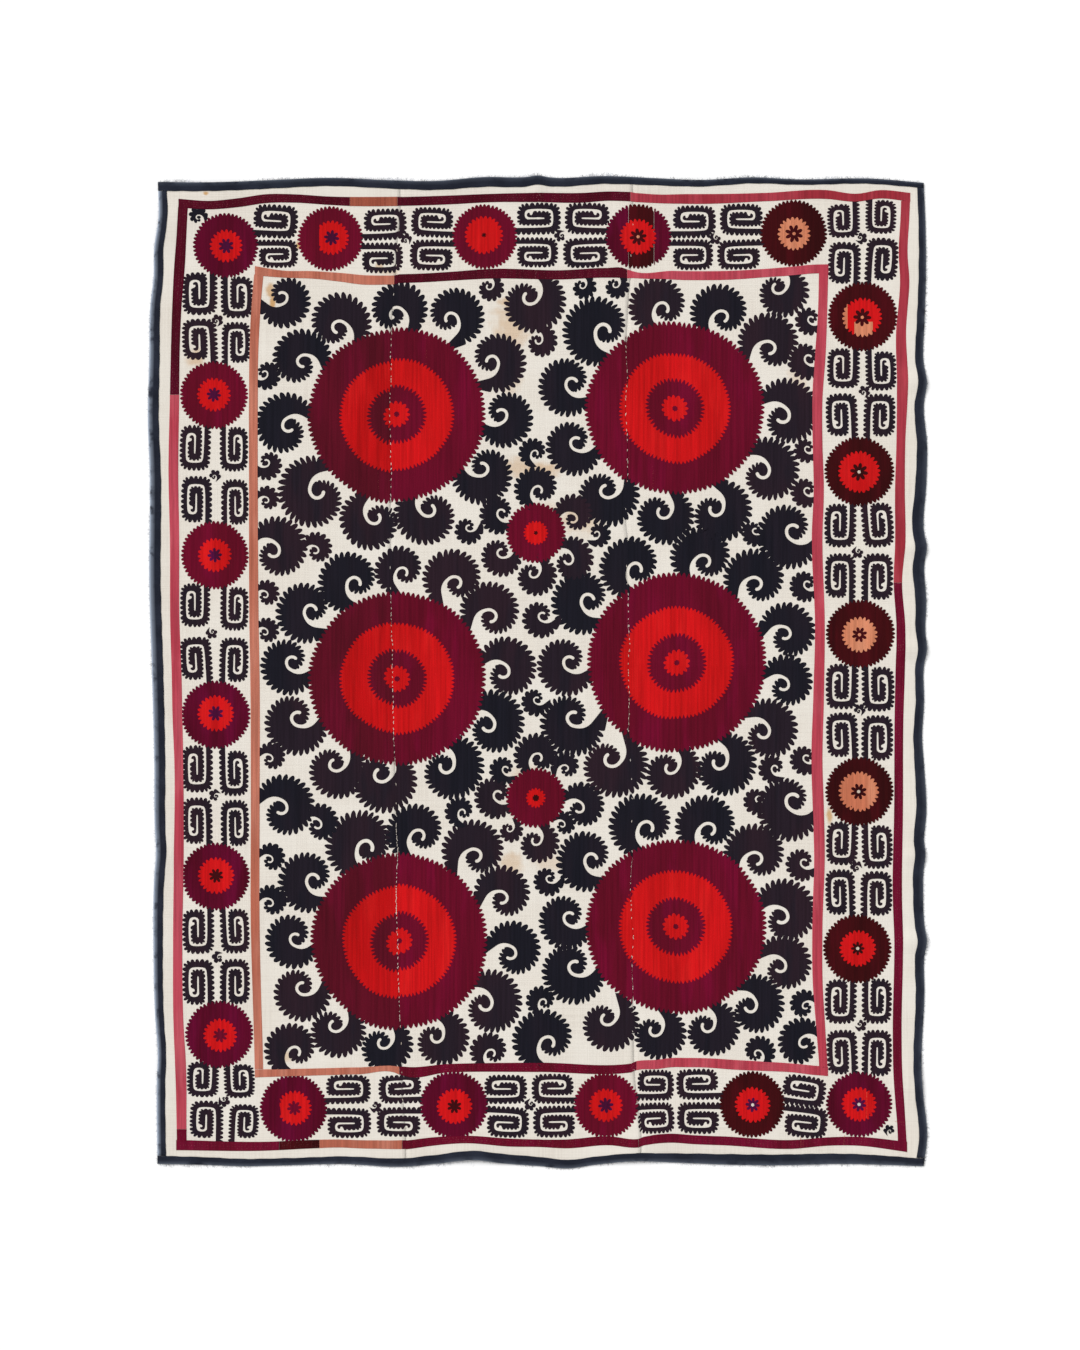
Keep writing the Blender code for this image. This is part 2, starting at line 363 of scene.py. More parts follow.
class Finish:
    """A node material under a short name, with a helper that adds and joins nodes."""

    def __init__(self, name, roughness, sheen=0.0, sheen_roughness=0.5, specular=0.25):
        self.material = bpy.data.materials.new(name)
        self.material.use_nodes = True
        self.tree = self.material.node_tree
        self.shader = self.tree.nodes["Principled BSDF"]
        self.shader.inputs["Roughness"].default_value = roughness
        self.shader.inputs["Sheen Weight"].default_value = sheen
        self.shader.inputs["Sheen Roughness"].default_value = sheen_roughness
        self.shader.inputs["Specular IOR Level"].default_value = specular
        self.place = self.add("ShaderNodeTexCoord").outputs["Object"]

    def add(self, kind, settings=None, **inputs):
        """Adds a node; spaces in an input's name are underscores, and its value may be a node's output."""
        node = self.tree.nodes.new(kind)
        for key, value in (settings or {}).items():
            setattr(node, key, value)
        for key, value in inputs.items():
            socket = node.inputs[key.replace("_", " ")]
            if isinstance(value, bpy.types.NodeSocket):
                self.tree.links.new(value, socket)
            else:
                socket.default_value = value
        return node

    def stretched(self, x, y, z=1.0):
        """The place on the piece, scaled differently along each axis."""
        return self.add("ShaderNodeMapping", Vector=self.place, Scale=(x, y, z)).outputs["Vector"]

    def noise(self, vector, scale, detail=2.0, roughness=0.5):
        node = self.add("ShaderNodeTexNoise", Vector=vector, Scale=scale, Detail=detail, Roughness=roughness)
        return node.outputs["Fac"]

    def steps(self, value, low, high):
        """Stretches a value so that low becomes 0 and high becomes 1."""
        node = self.add("ShaderNodeMapRange", {"interpolation_type": "SMOOTHSTEP"}, Value=value)
        node.inputs["From Min"].default_value = low
        node.inputs["From Max"].default_value = high
        return node.outputs["Result"]

    def mix(self, share, first, second, blend="MIX"):
        """Mixes two colours."""
        node = self.add("ShaderNodeMix", {"data_type": "RGBA", "blend_type": blend})
        for socket, value in ((node.inputs[0], share), (node.inputs[6], first), (node.inputs[7], second)):
            if isinstance(value, bpy.types.NodeSocket):
                self.tree.links.new(value, socket)
            else:
                socket.default_value = value
        return node.outputs[2]

    def sum(self, first, second, kind="ADD"):
        node = self.add("ShaderNodeMath", {"operation": kind})
        for socket, value in zip(node.inputs, (first, second)):
            if isinstance(value, bpy.types.NodeSocket):
                self.tree.links.new(value, socket)
            else:
                socket.default_value = value
        return node.outputs[0]

    def close(self, base, height, strength, distance):
        """Joins the colour and the relief to the shader."""
        self.tree.links.new(base, self.shader.inputs["Base Color"])
        bump = self.add("ShaderNodeBump", Height=height, Strength=strength, Distance=distance)
        self.tree.links.new(bump.outputs["Normal"], self.shader.inputs["Normal"])
        return self.material


def thread_waves(finish, direction, spacing, distortion=1.5):
    """Bands of the given spacing in metres, slightly wavering, as threads that lie side by side."""
    scale = 2 * math.pi / (20 * spacing)
    node = finish.add(
        "ShaderNodeTexWave",
        {"wave_type": "BANDS", "bands_direction": direction, "wave_profile": "SIN"},
        Vector=finish.place,
        Scale=scale,
        Distortion=distortion,
        Detail=1.0,
        Detail_Scale=0.3,
    )
    return node.outputs["Fac"]


print("finish kit ready")

# %% [markdown]
# ## Ground cloth
# The ground is handwoven cotton in its undyed cream, in three narrow breadths. Close up it is a plain
# weave whose threads are uneven, so it shows short thick stretches along both directions; from further
# off it has faint streaks, grey handling marks and a few tea-coloured stains. The stains have real
# places, so each one is a soft spot at a point of the cloth.

# %% The finish of the cotton
CREAM = colour(222, 215, 204)
CREAM_DARK = colour(214, 206, 195)
CREAM_LIGHT = colour(228, 223, 214)
STAIN = colour(196, 156, 108)
THREAD_SPACING = 1.1 * MM

# Columns: place across, place up, radius across, radius up, how dark.
STAINS = [
    (-732, 1052, 9, 6, 1.0),
    (-528, 938, 9, 12, 0.75),
    (-60, 760, 55, 70, 0.26),
    (-70, 815, 24, 16, 0.30),
    (-45, 450, 46, 30, 0.24),
    (10, 445, 60, 22, 0.30),
    (-60, -425, 34, 40, 0.24),
    (640, -315, 9, 24, 0.45),
    (-590, 840, 14, 22, 0.40),
    (-755, 690, 26, 26, 0.30),
    (-350, 893, 12, 16, 0.28),
    (-60, 640, 30, 40, 0.18),
    (20, 350, 60, 30, 0.14),
    (570, 640, 30, 50, 0.16),
    (95, 335, 60, 45, 0.22),
    (60, 460, 40, 24, 0.20),
    (-30, -230, 50, 30, 0.14),
    (30, -420, 60, 24, 0.14),
    (-585, 812, 9, 30, 0.55),
    (-560, -845, 26, 16, 0.25),
    (-330, 880, 40, 10, 0.18),
]


def cotton():
    """Plain-woven undyed cotton with slubs, streaks and stains."""
    finish = Finish("cotton_ground", roughness=0.95, sheen=0.05, specular=0.08)
    across = finish.noise(finish.stretched(6, 420), 1.0, detail=3.0)
    upwards = finish.noise(finish.stretched(420, 6), 1.0, detail=3.0)
    slubs = finish.steps(finish.sum(across, upwards), 0.76, 1.16)
    base = finish.mix(slubs, CREAM_DARK, CREAM)
    cloudy = finish.steps(finish.noise(finish.place, 7.0, detail=4.0), 0.35, 0.7)
    base = finish.mix(finish.sum(cloudy, 0.55, "MULTIPLY"), base, CREAM_LIGHT)
    for x, y, wide, high, dark in STAINS:
        spot = finish.add("ShaderNodeMapping", {"vector_type": "POINT"}, Vector=finish.place)
        spot.inputs["Scale"].default_value = (1 / (wide * MM), 1 / (high * MM), 0)
        spot.inputs["Location"].default_value = (-(x + SHIFT_X) / wide, -(y + SHIFT_Y) / high, 0)
        away = finish.add("ShaderNodeVectorMath", {"operation": "LENGTH"})
        finish.tree.links.new(spot.outputs["Vector"], away.inputs[0])
        ragged = finish.sum(away.outputs["Value"], finish.noise(finish.place, 60.0, detail=3.0))
        share = finish.sum(finish.steps(ragged, 1.55, 0.75), min(1.0, 2.0 * dark), "MULTIPLY")
        base = finish.mix(share, base, STAIN)
    weave = finish.sum(
        thread_waves(finish, "X", THREAD_SPACING), thread_waves(finish, "Y", THREAD_SPACING), "MULTIPLY"
    )
    relief = finish.sum(weave, slubs)
    return finish.close(base, relief, strength=0.6, distance=0.0004)


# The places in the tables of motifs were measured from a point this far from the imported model's middle,
# in mm.
SHIFT_X = 2.2
SHIFT_Y = -0.65
cotton_finish = cotton()
print("cotton has", len(cotton_finish.node_tree.nodes), "nodes")

# %% [markdown]
# A breadth is a grid of points with one column every 8 mm or so, each at the height the cloth lies at,
# made thick with a Solidify modifier. A cloth simulation isn't needed: the cover rests on the floor, so
# only its low relief is free, and that comes from the height function, which the stitching can follow
# exactly. Each breadth replaces the plain solid.

# %% The three breadths
CLOTH_STEP = 9.5 * MM


def new_piece(name, points, faces, finish):
    """A mesh object that rides on the cover."""
    mesh = bpy.data.meshes.new(name)
    mesh.from_pydata([tuple(p) for p in points], [], faces)
    mesh.materials.append(finish)
    mesh.shade_smooth()
    piece = bpy.data.objects.new(name, mesh)
    bpy.context.scene.collection.objects.link(piece)
    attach(piece, "root")
    return piece


def grid_faces(rows, columns):
    """The faces of a grid of points that is stored row by row."""
    corner = (np.arange(rows - 1)[:, None] * columns + np.arange(columns - 1)[None, :]).ravel()
    return np.stack([corner, corner + 1, corner + columns + 1, corner + columns], axis=1).tolist()


def thicken(piece, thickness, offset):
    """Makes a sheet thick; offset 1 keeps the given side as the underside, 0 as the middle."""
    solidify = piece.modifiers.new("thickness", "SOLIDIFY")
    solidify.thickness = thickness
    solidify.offset = offset
    solidify.use_even_offset = True


def breadth(name, left, right):
    """One breadth of cloth between two curves, which give the place across at a place up the cloth."""
    y = np.linspace(-HALF_LENGTH + TUCK, HALF_LENGTH - TUCK, round(2 * HALF_LENGTH / CLOTH_STEP))
    low, high = left(y), right(y)
    width = float((high - low).mean())
    share = np.linspace(0, 1, round(width / CLOTH_STEP) + 1)
    x = low[:, None] + (high - low)[:, None] * share[None, :]
    y = np.broadcast_to(y[:, None], x.shape)
    real_x, real_y = laid(x, y)
    points = np.stack([real_x, real_y, lie(x, y)], axis=-1).reshape(-1, 3)
    piece = new_piece(name, points, grid_faces(*x.shape), cotton_finish)
    thicken(piece, CLOTH, 1)
    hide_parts(name.replace("_cloth", ""))
    flat = (float((high - low).max()), 2 * (HALF_LENGTH - TUCK))
    area = width * flat[1]
    print(name, "is", round(flat[0], 3), "x", round(flat[1], 3), "m, area", round(area, 4))
    return piece, flat, area


def seam_side(seam, side):
    """The edge of a breadth along a seam; side is -1 or 1."""
    return lambda y: smooth_between(seam, y) + side * GAP / 2


def rim(side):
    """The outer edge of an outer breadth, inside the edging; side is -1 or 1."""
    return lambda y: np.full_like(y, side * (HALF_WIDTH - TUCK))


cloth_left = breadth("breadth_left_cloth", rim(-1), seam_side(LEFT_SEAM, -1))
cloth_middle = breadth("breadth_middle_cloth", seam_side(LEFT_SEAM, 1), seam_side(RIGHT_SEAM, -1))
cloth_right = breadth("breadth_right_cloth", seam_side(RIGHT_SEAM, 1), rim(1))

# %% [markdown]
# ## Edging
# A strip of dark blue cotton is folded round the raw edges and stitched down. Its fold takes the wear:
# the dye has rubbed off to pale blue there, most of all down the left side. The strip is a grid whose
# cross-section goes from the upper hem over a round fold to the lower hem, so that the fold catches light
# as cloth does and not as a box corner would.

# %% The finish and the shape of the edging
NAVY = colour(28, 31, 41)
NAVY_LIGHT = colour(41, 45, 57)
RUBBED = colour(150, 160, 176)


def edging_cotton():
    """Dark indigo cotton, rubbed pale in places along its fold."""
    finish = Finish("edging_cotton", roughness=0.92, sheen=0.02, specular=0.06)
    weft = finish.noise(finish.stretched(500, 500), 1.0, detail=2.0)
    clouds = finish.noise(finish.place, 22.0, detail=4.0)
    base = finish.mix(finish.steps(finish.sum(weft, clouds), 0.8, 1.3), NAVY, NAVY_LIGHT)
    worn = finish.add("ShaderNodeAttribute", {"attribute_name": "wear"}).outputs["Fac"]
    blotches = finish.noise(finish.stretched(30, 30), 1.0, detail=5.0, roughness=0.65)
    patches = finish.steps(blotches, 0.30, 0.52)
    base = finish.mix(finish.sum(worn, patches, "MULTIPLY"), base, RUBBED)
    weave = finish.sum(
        thread_waves(finish, "X", 0.9 * MM), thread_waves(finish, "Y", 0.9 * MM), "MULTIPLY"
    )
    return finish.close(base, finish.sum(weave, weft), strength=0.5, distance=0.0003)


edging_finish = edging_cotton()
# Columns: how far in from the fold as a share of the reach, extra in mm, height of the middle of the
# strip in mm.
EDGING_SECTION = [
    (1.0, 0.0, 0.5), (0.5, 0.0, 0.5), (0.0, 3.2, 0.5), (0.0, 1.6, 0.75), (0.0, 0.7, 1.4), (0.0, 0.5, 2.1),
    (0.0, 0.8, 2.9), (0.0, 1.7, 3.4), (0.0, 3.4, 3.6), (0.5, 0.0, 3.6), (1.0, -1.2, 3.55), (1.0, 0.0, 3.3),
]
WORN_FOLD = {"left": 1.7, "right": 0.22, "top": 0.2, "bottom": 0.3}
EDGING_STEP = 8 * MM


def edging(edge, start, stop):
    """One strip of the edging along an edge, between two places on it."""
    places = np.linspace(start, stop, round((stop - start) / EDGING_STEP))
    reach = smooth_between(REACH[edge], places)
    section = np.array(EDGING_SECTION)
    inwards = section[:, 0][:, None] * reach[None, :] + section[:, 1][:, None] * MM
    dice = np.random.default_rng(len(edge))
    rows, columns = inwards.shape
    hem = (section[:, 0] > 0.9)[:, None]
    puckers = 0.35 * MM * np.sin(places / (9 * MM) + 2 * np.sin(places / 0.11)) * hem
    inwards = inwards + puckers + dice.normal(0, 0.12 * MM, inwards.shape) * hem
    along = np.broadcast_to(places[None, :], inwards.shape)
    x, y = {
        "left": (-HALF_WIDTH + inwards, along),
        "right": (HALF_WIDTH - inwards, along),
        "top": (along, HALF_LENGTH - inwards),
        "bottom": (along, -HALF_LENGTH + inwards),
    }[edge]
    real_x, real_y = laid(x, y)
    height = fold_height(x, y) + section[:, 2][:, None] * MM
    points = np.stack([real_x, real_y, height], axis=-1).reshape(-1, 3)
    faces = grid_faces(rows, columns)
    if edge in ("left", "top"):
        faces = [face[::-1] for face in faces]
    name = "edging_" + edge
    piece = new_piece(name + "_cloth", points, faces, edging_finish)
    wear = piece.data.attributes.new("wear", "FLOAT", "POINT")
    share = WORN_FOLD[edge] * ease(1 - np.abs(section[:, 1] - 0.8) / 4.2) * (section[:, 0] < 0.1)
    wear.data.foreach_set("value", np.repeat(share, columns).astype(np.float32))
    thicken(piece, TAPE, 0)
    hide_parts(name)
    girth = np.hypot(np.diff(inwards, axis=0), np.diff(section[:, 2] * MM)[:, None]).sum(axis=0)
    flat = (float(girth.max()), stop - start)
    area = float(girth.mean()) * flat[1]
    print(name, "is", round(flat[0], 4), "x", round(flat[1], 3), "m")
    return piece, flat, area


for edge, side in (("left", -1), ("right", 1)):
    corner = np.array([side * HALF_WIDTH, side * (HALF_WIDTH - RIM_LEVEL)])
    low = -HALF_LENGTH + float(smooth_between(REACH["bottom"], corner).max()) + GAP
    high = HALF_LENGTH - float(smooth_between(REACH["top"], corner).max()) - GAP
    edging(edge, low, high)
for edge in ("top", "bottom"):
    edging(edge, -HALF_WIDTH, HALF_WIDTH)

# %% [markdown]
# ## Frayed threads
# The fold of the edging has worn through in many places, and short threads stand out from it on the
# floor, thickest along the head and the foot. Each one is a thin three-sided tube that leaves the fold
# low down, bends a little and lies level.

# %% A fringe of worn threads
THREAD_RADIUS = 0.15 * MM
THREAD_POINTS = 5
# Columns: edge, threads per metre, longest in mm.
FRAYING = [("top", 1250, 7.0), ("bottom", 1250, 7.5), ("left", 520, 4.5), ("right", 900, 6.0)]

# Columns: place along the foot, length in mm.
LOOSE_THREADS = [(-158, 13), (-154, 17), (690, 11), (240, 9)]


def tube(path, radius):
    """Points and faces of a thin three-sided tube along a path, tapering a little to its end."""
    along = np.gradient(path, axis=0)
    along /= np.linalg.norm(along, axis=1)[:, None]
    side = np.cross(along, (0, 0, 1.0))
    side /= np.linalg.norm(side, axis=1)[:, None] + 1e-12
    upright = np.cross(side, along)
    size = radius * np.linspace(1, 0.6, len(path))[:, None]
    rings = [path + size * (math.cos(a) * side + math.sin(a) * upright) for a in (0.5, 2.6, 4.7)]
    points = np.stack(rings, axis=1).reshape(-1, 3)
    faces = [(0, 1, 2), tuple(len(points) - 3 + k for k in (2, 1, 0))]
    for ring in range(len(path) - 1):
        for k in range(3):
            low, high = ring * 3 + k, ring * 3 + (k + 1) % 3
            faces.append((low, low + 3, high + 3, high))
    return points, faces


def frayed_threads():
    """Short worn threads along the outer fold."""
    dice = np.random.default_rng(21)
    points, faces = [], []
    outward = {"left": (-1, 0), "right": (1, 0), "top": (0, 1), "bottom": (0, -1)}
    for edge, per_metre, longest in FRAYING:
        half = HALF_LENGTH if edge in ("left", "right") else HALF_WIDTH
        count = round(2 * half * per_metre)
        places = dice.uniform(-half + 0.004, half - 0.004, count)
        density = waves(places, np.zeros(count), 7, 0.5, 0.06, seed=len(edge))
        for place, thick in zip(places, density):
            if dice.random() > 0.25 + 0.9 * thick:
                continue
            length = longest * MM * dice.uniform(0.2, 1.0) ** 1.3 * (0.45 + thick)
            slant = dice.normal(0, 0.9)
            t = np.linspace(0, 1, THREAD_POINTS)
            out = -1.0 * MM + (length + MM) * t * math.cos(0.5 * slant)
            sideways = length * (slant * 0.7 * t + dice.normal(0, 0.35) * t**2)
            x, y = {
                "left": (-HALF_WIDTH - out, place + sideways),
                "right": (HALF_WIDTH + out, place + sideways),
                "top": (place + sideways, HALF_LENGTH + out),
                "bottom": (place + sideways, -HALF_LENGTH - out),
            }[edge]
            real_x, real_y = laid(x, y)
            start = dice.uniform(0.4, 2.2) * MM + float(fold_height(x[:1], y[:1])[0])
            height = THREAD_RADIUS + (start - THREAD_RADIUS) * (1 - t) ** 2
            more_points, more_faces = tube(np.stack([real_x, real_y, height], axis=1), THREAD_RADIUS)
            base = THREAD_POINTS * 3 * len(points)
            points.append(more_points)
            faces += [tuple(base + k for k in face) for face in more_faces]
    for place, length in LOOSE_THREADS:
        t = np.linspace(0, 1, THREAD_POINTS)
        x = place * MM + length * MM * 0.4 * np.sin(2.5 * t)
        y = -HALF_LENGTH + MM - length * MM * t
        height = THREAD_RADIUS + 1.5 * MM * (1 - t) ** 2
        more_points, more_faces = tube(np.stack([*laid(x, y), height], axis=1), THREAD_RADIUS)
        base = THREAD_POINTS * 3 * len(points)
        points.append(more_points)
        faces += [tuple(base + k for k in face) for face in more_faces]
    print(len(points), "frayed threads")
    return np.concatenate(points), faces


def worn_thread_finish():
    """Threads between navy and a rubbed grey blue."""
    finish = Finish("worn_threads", roughness=0.85, sheen=0.15, specular=0.2)
    spots = finish.steps(finish.noise(finish.place, 55.0, detail=3.0), 0.40, 0.62)
    base = finish.mix(spots, colour(52, 57, 72), colour(150, 158, 172))
    return finish.close(base, finish.noise(finish.place, 900.0), strength=0.3, distance=0.0002)


fray_points, fray_faces = frayed_threads()
fraying = new_piece("frayed_threads", fray_points, fray_faces, worn_thread_finish())

# %% [markdown]
# ## Stitched patches
# Every motif is filled with long threads laid up and down the cloth and held by tiny slanting stitches,
# so it stands a little proud and ends in a soft rounded edge. A motif here is an outline, a closed loop
# of points in the plane. The patch builder sinks that outline just into the cloth, rises to the full
# height of the thread a little way in, and fills the inside, above and below, with triangles whose
# heights follow the cloth. The same builder serves leaves, combs, rosettes and bands.

# %% From an outline to a raised patch
STITCH_HEIGHT = 0.65 * MM
STITCH_SINK = 0.25 * MM
LAYER = 0.22 * MM
ROUNDING = 0.9 * MM
# A small patch gets a narrower rounded edge: this share of the square root of its area.
SMALL_ROUNDING = 0.022
FILL_STEP = 12 * MM
FILL_ROW = 0.866 * FILL_STEP


def area_of(loop):
    """The signed area inside a loop, positive when it runs anticlockwise."""
    x, y = loop[:, 0], loop[:, 1]
    return 0.5 * float(np.sum(x * np.roll(y, -1) - y * np.roll(x, -1)))


def inside(points, loop):
    """Which points lie inside a loop, by counting crossings."""
    x, y = points[:, 0][:, None], points[:, 1][:, None]
    x0, y0 = loop[:, 0][None, :], loop[:, 1][None, :]
    x1, y1 = np.roll(loop[:, 0], -1)[None, :], np.roll(loop[:, 1], -1)[None, :]
    rising = (y0 > y) != (y1 > y)
    with np.errstate(divide="ignore", invalid="ignore"):
        crossing = x < (x1 - x0) * (y - y0) / (y1 - y0) + x0
    return (np.count_nonzero(rising & crossing, axis=1) % 2) == 1


def drawn_in(loop, distance):
    """The loop moved inwards by a distance at every corner."""
    ahead = np.roll(loop, -1, axis=0) - loop
    ahead /= np.linalg.norm(ahead, axis=1)[:, None] + 1e-12
    behind = np.roll(ahead, 1, axis=0)
    normal = np.stack([-(ahead + behind)[:, 1], (ahead + behind)[:, 0]], axis=1)
    length = np.linalg.norm(normal, axis=1)[:, None]
    return loop + distance * normal / np.maximum(length, 0.5)


def fill(loop, middle_points):
    """Triangles that fill a loop through some points inside it."""
    count = len(loop)
    corners = [Vector(p) for p in np.concatenate([loop, middle_points])]
    edges = [(k, (k + 1) % count) for k in range(count)]
    found, _, triangles, origins, _, _ = delaunay_2d_cdt(corners, edges, [], 0, 1e-7)
    index = [source[0] if source else -1 for source in origins]
    places = np.array([tuple(v) for v in found])
    centres = np.array([places[list(t)].mean(axis=0) for t in triangles])
    keep = inside(centres, loop)
    chosen = [[index[k] for k in t] for t, wanted in zip(triangles, keep) if wanted]
    return [t for t in chosen if min(t) >= 0]


def ridge_points():
    """Points along the seams and creases, close enough together for a patch to follow their ridges."""
    places = np.arange(-1060, 1060, 9) * MM
    lines = [(smooth_between(seam, places), places, 1, 8) for seam in (LEFT_SEAM, RIGHT_SEAM)]
    for upright, place, start, stop, half_width, _ in CREASES:
        along = places[(places > start * MM) & (places < stop * MM)]
        lines.append((np.full_like(along, place * MM), along, upright, half_width))
    found = []
    for across, along, upright, half_width in lines:
        for share in (-1, -0.45, 0, 0.45, 1):
            shifted = across + share * half_width * MM
            x, y = (shifted, along) if upright else (along, shifted)
            found.append(np.column_stack(laid(x, y)))
    return np.concatenate(found)


RIDGE_POINTS = ridge_points()


def grid_within(low, high):
    """The points of one fixed triangular grid inside a box, which all the patches of a stack share."""
    rows = np.arange(math.floor(low[1] / FILL_ROW), math.ceil(high[1] / FILL_ROW) + 1)
    columns = np.arange(math.floor(low[0] / FILL_STEP) - 1, math.ceil(high[0] / FILL_STEP) + 1)
    row, column = np.meshgrid(rows, columns)
    return np.column_stack([((column + 0.5 * (row % 2)) * FILL_STEP).ravel(), (row * FILL_ROW).ravel()])


class Embroidery:
    """Collects the patches of one piece, and makes one mesh of them."""

    def __init__(self, name):
        self.name = name
        self.points = []
        self.faces = []
        self.finishes = []
        self.finish_of_face = []
        self.count = 0

    def add(self, points, faces, finish):
        if finish not in self.finishes:
            self.finishes.append(finish)
        self.points.append(points)
        self.faces += [tuple(self.count + k for k in face) for face in faces]
        self.finish_of_face += [self.finishes.index(finish)] * len(faces)
        self.count += len(points)

    def patch(self, loop, finish, layer=0, over=0):
        """A raised patch inside a loop, in a layer of thread; its edge sinks into the layer it lies over."""
        if area_of(loop) < 0:
            loop = loop[::-1]
        loop = jogged(loop)
        rim = drawn_in(loop, min(ROUNDING, SMALL_ROUNDING * math.sqrt(area_of(loop))))
        low, high = loop.min(axis=0), loop.max(axis=0)
        near = np.all((RIDGE_POINTS > low) & (RIDGE_POINTS < high), axis=1)
        grid = np.concatenate([grid_within(low, high), RIDGE_POINTS[near]])
        grid = grid[inside(grid, rim)]
        if len(grid):
            away = np.linalg.norm(grid[:, None, :] - rim[None, :, :], axis=2).min(axis=1)
            grid = grid[away > 0.2 * FILL_STEP]
        flat_points = np.concatenate([rim, grid])
        under = over * LAYER - STITCH_SINK
        points = np.concatenate([
            np.column_stack([loop, top_of_cloth(loop[:, 0], loop[:, 1]) + under]),
            np.column_stack([
                flat_points,
                top_of_cloth(flat_points[:, 0], flat_points[:, 1]) + STITCH_HEIGHT + layer * LAYER,
            ]),
            np.column_stack([grid, top_of_cloth(grid[:, 0], grid[:, 1]) + under]),
        ])
        count = len(loop)
        lower_grid = count + len(grid)
        faces = [(k, (k + 1) % count, count + (k + 1) % count, count + k) for k in range(count)]
        faces += [tuple(count + k for k in t) for t in fill(rim, grid)]
        faces += [tuple(k if k < count else k + lower_grid for k in reversed(t)) for t in fill(loop, grid)]
        self.add(points, faces, finish)

    def finish_piece(self):
        """Makes the mesh, with a crisp line where the rounded edge meets the top."""
        piece = new_piece(self.name, np.concatenate(self.points), self.faces, self.finishes[0])
        for finish in self.finishes[1:]:
            piece.data.materials.append(finish)
        piece.data.polygons.foreach_set("material_index", self.finish_of_face)
        piece.data.set_sharp_from_angle(angle=math.radians(35))
        triangles = sum(len(face) - 2 for face in self.faces)
        print(self.name, "has", triangles, "triangles")
        return piece


# %% [markdown]
# The three breadths were worked apart and sewn together afterwards, so a motif that crosses a seam
# doesn't quite meet itself there. Points to the left of the left seam and to the right of the right seam
# are slid up or down a little.

# %% Motifs slip at the seams
# Columns: place up the cloth, slip of the outer breadth there.
LEFT_SLIP = [(-1086, 2), (-600, -5), (-15, 5), (250, -2), (567, -6), (1086, 1)]
RIGHT_SLIP = [(-1086, 3), (-560, 3), (20, -4), (300, 3), (580, 5), (1086, -2)]
SLIP_WIDTH = 2.5 * MM
SLIP_FADE = 60 * MM


def seam_line(seam):
    """A function for where a seam really lies across the cloth, at places up it."""
    return lambda y: laid(smooth_between(seam, y), y)[0]


def jogged(loop):
    """The loop with its outer parts slipped along the seams."""
    x, y = loop[:, 0], loop[:, 1]
    away_left = x - seam_line(LEFT_SEAM)(y)
    away_right = x - seam_line(RIGHT_SEAM)(y)
    left = ease(0.5 - away_left / SLIP_WIDTH)
    right = ease(0.5 + away_right / SLIP_WIDTH)
    near_left = 1 - ease((np.abs(away_left) - SLIP_FADE) / SLIP_FADE)
    near_right = 1 - ease((np.abs(away_right) - SLIP_FADE) / SLIP_FADE)
    slip = left * near_left * smooth_between(LEFT_SLIP, y) + right * near_right * smooth_between(RIGHT_SLIP, y)
    return np.column_stack([x, y + slip])


def one_side(loop, line, side):
    """The part of a loop on one side, -1 or 1, of an upright line, closed along it, or None."""
    kept = side * (loop[:, 0] - line(loop[:, 1])) > 0
    if kept.all():
        return loop
    if not kept.any():
        return None
    starts = np.flatnonzero(kept & ~np.roll(kept, 1))
    gaps = [next(k for k in range(1, len(loop)) if kept[start - k]) for start in starts]
    start = starts[int(np.argmax(gaps))]
    part = np.roll(loop, -start, axis=0)[np.roll(kept, -start)]
    places = np.linspace(part[-1, 1], part[0, 1], 24)[1:-1]
    return np.concatenate([part, np.column_stack([line(places), places])])


def upright_line(across):
    """A straight line up the cloth, given in the tables' millimetres."""
    return lambda y: np.full_like(y, (across + SHIFT_X) * MM)


print("slip at the first medallion:", round(float(smooth_between(LEFT_SLIP, np.array(0.567))) / MM, 1), "mm")

# %% [markdown]
# ## Teeth
# Every outline on this cover is edged with teeth. On the discs they are small and even, on the leaves
# they are long fingers that lean the way the leaf curls, and on the combs they are short and round. So
# teeth are one function: it walks along a smooth path, and pulls the path inwards between one tooth and
# the next.

# %% Walk a path and cut teeth into it
# Below 1 a tooth is a finger with a round tip, and above it is a pointed one.
FINGER = 0.62
POINT = 0.78


def evenly(path, step):
    """A path with points about a step apart."""
    gaps = np.linalg.norm(np.diff(path, axis=0), axis=1)
    length = np.concatenate([[0], np.cumsum(gaps)])
    wanted = np.linspace(0, length[-1], max(2, round(length[-1] / step)) + 1)
    return np.column_stack([np.interp(wanted, length, path[:, k]) for k in (0, 1)])


